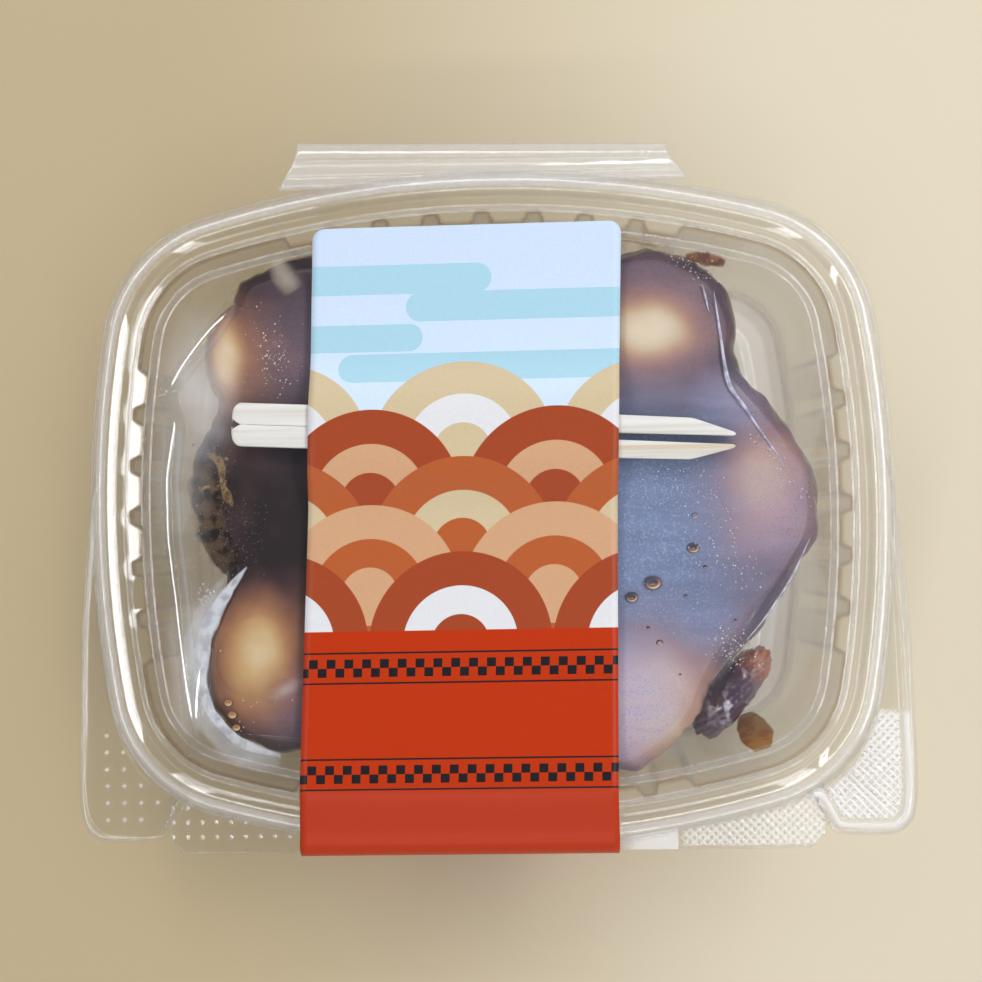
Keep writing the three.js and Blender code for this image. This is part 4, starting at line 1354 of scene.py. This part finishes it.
@dataclass(frozen=True)
class Bubbles:
    """Bubbles in the glaze, and droplets on the inside of the lid over it."""

    droplets: tuple[Cluster, ...] = (
        Cluster(((32, 4), (40, 2), (45, -3)), 2.6, 180, 0.05, 0.16),
        Cluster(((26, 6), (38, 8)), 2.2, 90, 0.04, 0.13),
        Cluster(((36, -6), (42, -8), (46, -14)), 2.0, 165, 0.05, 0.17),
        Cluster(((41, -24), (46, -28)), 1.8, 180, 0.06, 0.19),
        Cluster(((47, 14), (52, 8), (57, 0)), 1.0, 120, 0.05, 0.17),
        Cluster(((-40, 34), (-37, 24)), 2.2, 165, 0.05, 0.19),
        Cluster(((-47, 3), (-43, -4), (-47, -9)), 2.6, 300, 0.02, 0.06),
        Cluster(((-52, 4), (-54, -12), (-52, -16)), 1.6, 90, 0.03, 0.1),
        Cluster(((24, -10), (34, -18), (44, -18)), 6.0, 165, 0.03, 0.12),
        Cluster(((-44, -36), (-40, -24)), 4.0, 60, 0.05, 0.14),
        Cluster(((36, 44), (42, 41)), 1.2, 75, 0.06, 0.16),
        Cluster(((-52, -16), (-51, -13)), 0.7, 60, 0.07, 0.22),
    )
    foam: tuple[Cluster, ...] = (
        Cluster(((-50, 11), (-47, 8), (-47, 0), (-46, -7)), 1.5, 900, 0.07, 0.42),
        Cluster(((-43, 4), (-42, -6)), 2.0, 500, 0.06, 0.3),
    )
    single: tuple[tuple[float, float, float, float], ...] = (
        (37.2, -1.7, 0.62, 0.95), (36.8, -7.5, 1.0, 0.95), (29.5, -13.6, 1.35, 0.9),
        (25.7, -16.1, 1.0, 0.95), (30.5, -24.3, 0.62, 0.9), (38.8, -10.9, 0.32, 1.0),
        (35.3, -16.0, 0.26, 1.0), (28.5, -21.6, 0.32, 1.0), (-47.4, -33.9, 0.6, 0.5),
        (-46.7, -36.1, 0.66, 0.5), (-46.0, -38.4, 0.6, 0.5), (34.0, -30.0, 0.2, 1.0),
        (44.0, -20.5, 0.26, 1.0),
    )

    def build(self, water: Material, dark: Material, pale: Material) -> None:
        """Makes the droplets, the foam and the single bubbles, each kind as one piece."""
        rng = np.random.default_rng(7)
        flat = 0.6
        for name, clusters, z, height, finish, slot in (
            ("droplets", self.droplets, PANEL_UNDER - 0.02, -flat, water, Slot.PLASTIC),
            ("foam", self.foam, PANEL_UNDER - 0.5, flat, dark, Slot.GLAZE),
        ):
            drawn = [cluster.scatter(rng) for cluster in clusters]
            plane, radii = (np.concatenate(part) for part in zip(*drawn))
            places = at_height(plane, z)
            points, faces = copies(*dome(height), places, radii)
            piece = make_piece(name, points, faces, finish, slot)
            if name == "foam":
                amber = 0.4 * bell(places[:, 0], -47.5, 3.4) * bell(places[:, 1], 7.0, 7.0)
                vein = smooth_step(Ripple(2.6, 71)(places), 0.2, 1.0) + 0.25 * rng.uniform(0, 1, len(places))
                shade = rng.uniform(0.84, 1.0, len(places)) - amber * vein
                set_attribute(piece, "depth", np.repeat(shade, len(points) // len(places)))
        self.rings(pale)

    def rings(self, finish: Material) -> None:
        """Makes the single bubbles: shallow cups, each in a low round rim, with a painted highlight along one
        side of the rim and a painted glint just in front of the middle.
        """
        angle, out = around(24), np.linspace(1.2, 0.06, 10)[:, None]
        x, y = out * np.cos(angle), out * np.sin(angle)
        lip, floor = 0.85, 0.03
        cup = at_height(np.stack([x, 0.8 * y], -1), 0.14 * bell(out, lip, 0.25) + floor)
        one, one_faces = capped(cup, [[0, 0, -0.3], [0, 0, floor]])
        spots = np.array(self.single)
        places = at_height(spots[:, :2], PANEL_UNDER - 0.33)
        piece = make_piece("open_bubbles", *copies(one, one_faces, places, spots[:, 2]), finish, Slot.GLAZE)
        # Painted highlight along one side of each rim, and a painted glint spot: both make the depth paler.
        rim = bell(out, lip, 0.2) * (0.5 + 0.5 * np.cos(angle + 1.2)) ** 1.5
        glint = bell(x, 0.0, 0.45) * bell(y, -0.25, 0.14)
        shade = spots[:, 3, None, None] * (1.0 - 0.9 * np.maximum(rim, 0.7 * glint))
        ends = np.repeat(spots[:, 3, None], 2, axis=1)
        set_attribute(piece, "depth", np.concatenate([shade.reshape(len(spots), -1), ends], 1))


@dataclass(frozen=True)
class Smear:
    """A thin ribbon on the plastic, most of food left there and a few painted glint lines: its line, half
    widths, thickness and finish.
    """

    name: str
    line: tuple[tuple[float, float, float], ...]
    half_widths: tuple[float, ...]
    finish: Film
    seed: int
    thick: float = 0.25
    ragged: float = 0.12

    def build(self) -> Object:
        """Makes the ribbon: its line carried across, with a torn edge and a cover that fades towards it."""
        count, across = 60, 13
        path = evenly(rounded(np.array(self.line, float), 3.0, 6), count)
        half = np.interp(np.linspace(0, 1, count), np.linspace(0, 1, len(self.half_widths)), self.half_widths)
        share = np.linspace(-1, 1, across)[:, None]
        torn = 1 + self.ragged * Ripple(4.0, self.seed)(path[None] + share[..., None] * 4.0)
        plane = path[:, :2] + (share * half * torn)[..., None] * left_of(path[:, :2])
        cover = (1 - share**2) * np.sin(np.linspace(0.02, math.pi - 0.02, count)) ** 0.4
        upper, lower = path[:, 2] + self.thick * cover, path[:, 2] - 0.02
        points = np.concatenate([at_height(plane, upper), at_height(plane, lower)])
        quads = grid_quads(across, count)[:, ::-1]
        size = across * count
        border = np.concatenate([np.arange(count), np.arange(1, across) * count + count - 1,
                                 size - 2 - np.arange(count - 1), np.arange(across - 2, 0, -1) * count])
        after = np.roll(border, -1)
        sides = np.stack([after, border, border + size, after + size], -1)[:, ::-1]
        faces = [quads, quads[:, ::-1] + size, sides]
        piece = make_piece(self.name, points, faces, self.finish.material(), Slot.GLAZE)
        set_attribute(piece, "cover", np.concatenate([cover, cover]))
        return piece


MILKY = Film("milky_smear", (0.72, 0.74, 0.80), (0.46, 0.47, 0.52), 0.86, 420.0, 0.7, 0.5)
BROWN = Film("brown_smear", (0.13, 0.045, 0.03), (0.26, 0.11, 0.05), 0.8, 500.0, 0.5, 0.6)
AMBER = Film("amber_smear", (0.50, 0.25, 0.07), (0.36, 0.16, 0.045), 0.92, 350.0, 0.15, 0.3)
OLIVE = Film("olive_smear", (0.42, 0.27, 0.10), (0.55, 0.42, 0.22), 0.5, 300.0, 0.9, 0.9)
FROTH = Film("dark_froth", (0.12, 0.075, 0.04), (0.016, 0.010, 0.009), 0.76, 420.0, 1.2, 1.0)
GOLD = Film("gold_vein", (0.38, 0.27, 0.11), (0.16, 0.09, 0.035), 0.7, 900.0, 2.2, 0.9)
MIST = Film("mist", (0.70, 0.72, 0.76), (0.50, 0.51, 0.54), 0.3, 260.0, 0.8, 0.9)
PALE = Film("pale_smear", (0.72, 0.66, 0.58), (0.55, 0.45, 0.36), 0.40, 260.0, 0.5, 1.3)
# Painted highlight: pale lilac glint lines along where the glaze meets the lid.
SHINE = Film("painted_glint_line", (0.74, 0.72, 0.86), (0.40, 0.38, 0.52), 0.8, 500.0, 0.7, 0.7)
UNDER_LID = PANEL_UNDER - 0.42
ON_WALL = 20.0


def row_at(z: float, *plane: tuple[float, float]) -> tuple[tuple[float, float, float], ...]:
    """Points at one height."""
    return tuple((x, y, z) for x, y in plane)


SMEARS = (
    Smear("smear_left_front",
          row_at(UNDER_LID, (-43.6, -9.4), (-46.4, -13.0), (-49.9, -17.6), (-51.7, -22.5), (-52.4, -27.0),
                 (-52.2, -31.5), (-50.9, -35.3), (-48.3, -38.8), (-44.5, -41.8), (-38.0, -43.6)),
          (0.2, 1.3, 1.7, 1.5, 1.2, 1.1, 1.2, 0.5), MILKY, 51),
    Smear("smear_left_mist",
          row_at(UNDER_LID, (-47.5, -11.0), (-52.0, -17.6), (-53.8, -24.0), (-54.2, -31.5), (-51.6, -38.0),
                 (-46.0, -43.2), (-38.0, -45.0)),
          (0.8, 2.0, 2.2, 1.8, 2.2, 2.6, 1.4), MIST, 63),
    Smear("smear_left", row_at(UNDER_LID, (-51.0, 12.0), (-51.0, 4.0), (-49.4, -3.0), (-46.4, -10.0)),
          (1.8, 3.4, 3.6, 2.2), FROTH, 52),
    Smear("vein_upper", row_at(UNDER_LID, (-50.6, 11.4), (-47.6, 9.4), (-47.9, 5.6), (-45.4, 0.6)),
          (0.5, 1.3, 0.6, 1.2, 0.4), GOLD, 64),
    Smear("vein_lower", row_at(UNDER_LID, (-52.4, 3.0), (-51.0, 5.6), (-48.6, 4.4)),
          (0.3, 1.0, 0.3), GOLD, 65),
    Smear("smear_back_right", row_at(UNDER_LID, (36.6, 44.6), (39.6, 44.4), (43.6, 43.2)),
          (0.7, 1.5, 0.9), BROWN, 54),
    Smear("smear_back", row_at(ON_WALL, (4.0, 50.8), (14.0, 50.5), (24.0, 49.8)), (0.6, 1.0, 0.6), OLIVE, 55),
    Smear("drip_back", row_at(ON_WALL, (20.0, 50.9), (26.5, 50.4), (32.5, 48.4)), (0.6, 1.0, 0.5), OLIVE, 56),
    Smear("drip_back_left", row_at(ON_WALL, (-47.6, 41.6), (-42.6, 44.2), (-36.4, 45.4)),
          (1.2, 2.2, 1.3), OLIVE, 57),
    Smear("drip_floor",
          ((48.6, -40.87, 3.2), (49.1, -42.35, 8.0), (49.72, -44.18, 14.0), (50.18, -45.51, 18.4)),
          (1.6, 3.2, 3.4, 1.8), AMBER, 58, 0.3, 0.03),
    Smear("white_lump", row_at(UNDER_LID, (-37.8, 46.0), (-36.2, 43.6), (-34.0, 40.2)),
          (1.8, 2.7, 2.2), PALE, 59),
    # Painted highlights: the glint lines along the lid's contact with the glaze.
    Smear("painted_glint_lip", row_at(UNDER_LID, (39.4, 39.7), (40.0, 37.2), (40.5, 34.6)),
          (0.1, 0.28, 0.1), SHINE, 60),
    Smear("painted_glint_right",
          row_at(UNDER_LID, (41.5, 38.4), (42.7, 28.6), (43.6, 21.4), (45.7, 18.7), (49.1, 13.2), (53.3, 6.9),
                 (55.9, 0.6)),
          (0.12, 0.3, 0.34, 0.5, 0.3, 0.26, 0.2, 0.1), SHINE, 61),
    Smear("painted_glint_low_right", row_at(UNDER_LID, (57.6, -6.0), (54.0, -13.4), (49.0, -20.6), (45.8, -24.2)),
          (0.1, 0.22, 0.2, 0.1), SHINE, 62),
)


@dataclass(frozen=True)
class SetLump:
    """The lump of glaze that has run off the food and set on the floor in the front right corner."""

    x: float = 45.9
    y: float = -36.2
    long: float = 10.2
    wide: float = 3.9
    high: float = 3.9
    turn: float = 51.0
    square: float = 2.6
    folds: float = 0.035
    creases: float = 0.03

    def build(self, finish: Material) -> Object:
        """Makes the lump: a turned ellipsoid with folds of a few millimetres pressed into it."""
        tilt, angle = latitudes(40), around(72)
        power = self.square
        blunt = (np.abs(np.cos(angle)) ** power + np.abs(np.sin(angle)) ** power) ** (-1 / power)
        out = np.cos(tilt) ** 0.8 * blunt
        ball = at_height(np.stack([out * np.cos(angle), out * np.sin(angle)], -1), np.sin(tilt))
        ball *= (self.long, self.wide, self.high)
        folds = 1 + self.folds * Ripple(4.2, 61)(ball) + self.creases * Ripple(1.5, 62)(ball)
        grid = turned(ball * folds[..., None], self.turn) + (self.x, self.y, FLOOR_Z + 0.3 + self.high)
        grid[..., 2] = np.maximum(grid[..., 2], FLOOR_Z + 0.1)
        points, faces = capped(grid)
        piece = make_piece("set_lump", points, faces, finish, Slot.GLAZE, ("sauce_lump",))
        far = smooth_step((points[:, 0] - self.x) * 0.6 + (points[:, 1] - self.y) * 0.8, 2.0, 7.5)
        set_attribute(piece, "depth", 0.85 - 0.6 * far)
        # Painted highlight: where the set glaze's glint colour is laid on.
        set_attribute(piece, "shine", Patch(44.6, -38.4, 3.4, 3.0, 1.0).weight(points))
        return piece


# ---- Fork and strap ----


@dataclass(frozen=True)
class Fork:
    """The flat wooden fork: one stick slit into two prongs, which stay joined at the blunt end."""

    length: float = 90.0
    width: float = 7.8
    tip_width: float = 7.2
    thick: float = 1.8
    gap: float = 1.5
    slit: float = 62.0
    point: float = 8.0
    lobe: float = 1.7
    notch: float = 1.5
    x: float = -0.4
    y: float = 13.9
    turn: float = -3.1

    @staticmethod
    def section() -> Array:
        """A cut's outline, once round: a rounded rectangle in units of its half sizes."""
        turn = np.radians(np.linspace(0, 90, 4))
        corner = np.stack([0.88 + 0.12 * np.cos(turn), 0.72 + 0.28 * np.sin(turn)], -1)
        return np.concatenate([corner, corner[::-1] * (-1, 1), corner * (-1, -1), corner[::-1] * (1, -1)])

    def prong(self, side: Side) -> Mesh:
        """One prong: rectangular cuts along the stick, rounded to a lobe at one end, pointed at the other."""
        cut = self.section()
        share = 0.5 - 0.5 * np.cos(np.linspace(0, math.pi, 140))
        x = (share - 0.5) * self.length
        back, front = x + self.length / 2, self.length / 2 - x
        outer = np.interp(x, [-45, 20, 45], [self.width / 2, self.width / 2, self.tip_width / 2])
        joined = smooth_step(front, self.slit - 1.0, self.slit + 3.0) * smooth_step(back, 1.6, 3.0)
        inner = self.gap / 2 * np.clip(1 - front / self.slit, 0, 1) ** 0.6 + 0.012 - 0.3 * joined
        lobe = np.sqrt(np.clip(1 - (1 - np.clip(back / self.lobe, 0, 1)) ** 2, 0.0, 1))
        notch = np.clip(1 - back / self.notch, 0, 1) * 0.9
        taper = 1 - np.clip(1 - front / self.point, 0, 1) ** 1.1
        top = inner + (outer - inner) * np.minimum(lobe * 0.72 + 0.28 * np.sign(lobe), 0.2 + 0.8 * taper)
        low = inner + notch * 1.1
        tip = np.clip(front / 0.5, 0, 1) ** 0.5
        half, middle = np.maximum((top - low) / 2, 0.05) * tip, (top + low) / 2
        thick = self.thick / 2 * np.clip(np.minimum(back, front) / 0.3, 0.25, 1) ** 0.5
        across = (middle[:, None] + half[:, None] * cut[:, 0]) * side.value
        grid = np.stack([np.broadcast_to(x[:, None], across.shape), across, thick[:, None] * cut[:, 1]], -1)
        return capped(grid, flip=side is Side.LEFT)

    def build(self, finish: Material) -> Object:
        """Makes both prongs as one piece, turned a little on the lid."""
        first, first_faces = self.prong(Side.RIGHT)
        second, second_faces = self.prong(Side.LEFT)
        faces = first_faces + [part + len(first) for part in second_faces]
        both = turned(np.concatenate([first, second]), self.turn)
        points = both + (self.x, self.y, ON_PANEL + self.thick / 2)
        return make_piece("wooden_fork", points, faces, finish, Slot.WOOD, ("fork",))


@dataclass(frozen=True)
class Strap:
    """The paper strap: from the back of the panel, over the fork and the front edge, and under the base."""

    half_width: float = 27.7
    flare: float = 1.4
    back: float = 51.2
    tail: float = 22.0
    shift: float = -2.5
    skew: float = 0.034
    corner: float = 2.2
    paper: float = 0.2
    front: float = -62.8
    under: float = 0.2
    columns: int = 40
    fork: Fork = Fork()

    def path(self) -> Array:
        """The strap's under surface seen from the side, as rows of y, height and how much narrower it is."""
        rest, flare, edge = ON_PANEL, self.flare, self.front
        over, beside = rest + self.fork.thick + 0.25, self.fork.width / 2 + 2.0
        behind, before = self.fork.y + beside, self.fork.y - beside
        corners = np.array([
            [self.back - self.corner, rest, 0.0], [behind + 7.0, rest, 0.0], [behind, over, 0.0],
            [before, over, 0.0], [before - 7.0, rest, 0.0], [-49.5, rest, -flare * 0.6],
            [-51.3, rest - 0.5, -flare * 0.65], [-58.5, 28.2, -flare * 0.9], [-60.5, 27.7, -flare],
            [-61.7, 26.9, -flare], [edge + 0.2, 25.6, -flare], [edge, 24.9, -flare], [edge, 23.9, -flare],
            [edge + 0.5, 23.2, -flare], [-48.7, 1.5, 0.0], [-47.5, 0.5, 0.0], [-45.7, self.under, 0.0],
            [self.tail, self.under, 0.0],
        ])
        path = rounded(corners, 1.8, 6)
        round_end = np.linspace(0, 1, 8)[:, None]
        turn = (1 - round_end) * math.pi / 2
        end = np.concatenate([self.back - self.corner + self.corner * np.sin(turn), rest + 0 * turn,
                              self.corner * (1 - np.cos(turn))], 1)
        return np.concatenate([end[:-1], path])

    def build(self, face: Material, back: Material) -> Object:
        """Makes the strap: its path carried across its width, with the print's places as its UV map."""
        fine = self.path()
        lengths = along(fine[:, :2])
        keep = np.concatenate([lengths[:8], np.linspace(lengths[8] + 0.4, lengths[-1], 190)])
        y, z, narrower = (np.interp(keep, lengths, fine[:, k]) for k in range(3))
        middle = self.shift - self.skew * (self.back - y)
        across = np.linspace(-1, 1, self.columns)
        half = (self.half_width - narrower)[:, None]
        x = middle[:, None] + half * across
        on_top = smooth_step(z, 30.0, 31.5)[:, None]
        curl = 0.12 * on_top * np.abs(across) ** 6
        plane = np.stack([x, np.broadcast_to(y[:, None], x.shape)], -1)
        faces = grid_quads(len(keep), self.columns)[:, ::-1]
        points = at_height(plane, z[:, None] + curl)
        piece = make_piece("strap", points, [faces], face, Slot.PAPER, ("label",))
        piece.data.materials.append(back)
        set_uv(piece, np.stack([half * across, np.broadcast_to(keep[:, None], x.shape)], -1) / PRINT_UNIT)
        thicken(piece, self.paper, 1.0)
        piece.modifiers["thickness"].material_offset = 1
        return piece


# ---- Studio ----


@dataclass(frozen=True)
class SoftBox:
    """A soft rectangular light: where it hangs, its size, what it looks at, its radiance and colour."""

    name: str
    place: tuple[float, float, float]
    size: tuple[float, float]
    radiance: float
    colour: Colour = (1.0, 1.0, 1.0)
    aim: tuple[float, float, float] = (0.0, 0.0, 0.02)

    def build(self) -> None:
        """Makes the light: its power is pi times its radiance times its area."""
        lamp = bpy.data.lights.new(self.name, "AREA")
        lamp.shape = "RECTANGLE"
        lamp.size, lamp.size_y = self.size
        lamp.energy = math.pi * self.radiance * self.size[0] * self.size[1]
        lamp.color = self.colour
        light = bpy.data.objects.new(self.name, lamp)
        light.location = self.place
        way = Vector(self.aim) - Vector(self.place)
        light.rotation_euler = way.to_track_quat("-Z", "Y").to_euler()
        bpy.context.scene.collection.objects.link(light)


@dataclass(frozen=True)
class SoftWindow:
    """A pale blue glow with no edge, which the lid mirrors: a plane that shines less away from its middle."""

    place: tuple[float, float, float] = (0.08, -0.03, 0.83)
    size: tuple[float, float] = (0.34, 0.44)
    colour: Colour = (0.5, 0.68, 1.0)
    strength: float = 1.0

    def build(self) -> None:
        """Makes the plane, facing down; it is not seen by the camera."""
        nodes = Nodes("soft_window")
        x, y = self.size[0] / 2, self.size[1] / 2
        scaled = nodes.add("Mapping", {"Vector": nodes.place(), "Scale": (1 / x, 1 / y, 0)})
        apart = nodes.add("VectorMath", {0: scaled.outputs[0]}, operation="LENGTH").outputs["Value"]
        glow = nodes.math("MULTIPLY", nodes.step(apart, 1.0, 0.0), self.strength)
        shine = nodes.add("Emission", {"Color": self.colour, "Strength": glow})
        window = make_plane("window", (x, y), nodes.done(shine), -1)
        window.location = self.place
        window.visible_camera = False


@dataclass(frozen=True)
class Viewpoint:
    """The camera, straight above the pack and a little turned: its place in pack millimetres and turns."""

    place: tuple[float, float, float] = (13.453, -0.256, 300.0)
    pitch: float = 0.01354
    pan: float = -0.04652
    roll: float = -0.02039
    lens: float = 55.03
    sensor: float = 36.0
    nearest: float = 0.01

    def build(self) -> None:
        """Makes the camera, whose axes are the world's, pitched, panned and rolled."""
        pan = Matrix.Rotation(-self.pan, 3, "Y")
        forward = pan @ Vector((0, math.sin(self.pitch), -math.cos(self.pitch)))
        up = pan @ Vector((0, math.cos(self.pitch), math.sin(self.pitch)))
        right = pan @ Vector((1, 0, 0))
        cos, sin = math.cos(self.roll), math.sin(self.roll)
        right, up = cos * right + sin * up, cos * up - sin * right
        data = bpy.data.cameras.new("camera")
        data.sensor_width = self.sensor
        data.lens = self.lens
        data.clip_start = self.nearest
        camera = bpy.data.objects.new("camera", data)
        camera.matrix_world = Matrix((right, up, -forward)).transposed().to_4x4()
        camera.location = Vector(to_metres(np.array(self.place)))
        bpy.context.scene.collection.objects.link(camera)
        bpy.context.scene.camera = camera


@dataclass(frozen=True)
class Studio:
    """The table, the soft lights, the faint surroundings and how the picture is developed."""

    boxes: tuple[SoftBox, ...] = (
        SoftBox("left", (-0.68, 0.12, 0.76), (1.3, 0.05), 12.5),
        SoftBox("right", (0.70, 0.10, 0.68), (1.2, 0.11), 12.0),
        SoftBox("back", (0.05, 0.70, 0.66), (1.2, 0.10), 7.5),
        SoftBox("front", (0.0, -0.72, 0.66), (1.1, 0.06), 7.5),
    )
    table_half: float = 3.0

    def build(self) -> None:
        """Makes the studio."""
        make_plane("table", (self.table_half, self.table_half), TableTop().material(), 1)
        for box in self.boxes:
            box.build()
        SoftWindow().build()
        self.surroundings()
        scene = bpy.context.scene
        scene.view_settings.view_transform = "Standard"
        scene.cycles.transparent_max_bounces = 28
        scene.cycles.max_bounces = 4
        scene.cycles.diffuse_bounces = 2
        scene.cycles.glossy_bounces = 2

    @staticmethod
    def surroundings() -> None:
        """A world dim overhead, lighter towards the horizon, and bright in a ring 44 to 48 degrees up."""
        nodes = Nodes("surroundings", "worlds")
        height = nodes.add("SeparateXYZ", {0: nodes.add("TexCoord").outputs["Generated"]}).outputs["Z"]
        stops = ((0.12, 0.62), (0.62, 0.08), (0.69, 0.08), (0.70, 3.4), (0.738, 3.4), (0.748, 0.055))
        glow = nodes.ramp(height, tuple((at, (light, light * 1.02, light * 1.1)) for at, light in stops))
        bpy.context.scene.world = nodes.done(nodes.add("Background", {"Color": glow}), "OutputWorld")


def main() -> None:
    """Builds the pack, its food, the fork and the strap, and the studio round them."""
    logging.basicConfig(level=logging.INFO, format="%(message)s")
    Viewpoint().build()
    rim = RimOutline()
    clear = ClearSheet().material()
    Lid(rim).build(clear)
    Creases().build(clear)
    Base(rim).build(clear)
    CornerTab(rim, "lid_tab_left", Side.LEFT, LID_LEVEL, 0.9, 0.22, 0.2, Relief.DOTS, steps=300,
              rows=50).build(clear)
    CornerTab(rim, "lid_tab_right", Side.RIGHT, LID_LEVEL, 0.7, 0.9, 0.75, Relief.KNURL, steps=440,
              rows=72).build(clear)
    for side in Side:
        CornerTab(rim, f"base_tab_{side.name.lower()}", side, FLANGE_Z + SHEET, 0.0, 0.0, 0.5, Relief.PLAIN,
                  steps=120, rows=8).build(clear)
    FrontLip(rim).build(clear)
    Hinge().build(clear)
    food = Food(rim)
    glaze = Glaze("soy_glaze").material()
    food.blanket(glaze)
    food.balls_of_dough(Glaze("rice_dough").material())
    SetLump().build(SetGlaze().material())
    Bubbles().build(Water().material(), Glaze("foam_glaze", 0.06).material(), glaze)
    for smear in SMEARS:
        smear.build()
    Fork().build(PaleWood().material())
    Strap().build(StrapPrint().material(), PaperBack().material())
    Studio().build()


if __name__ == "__main__":
    main()
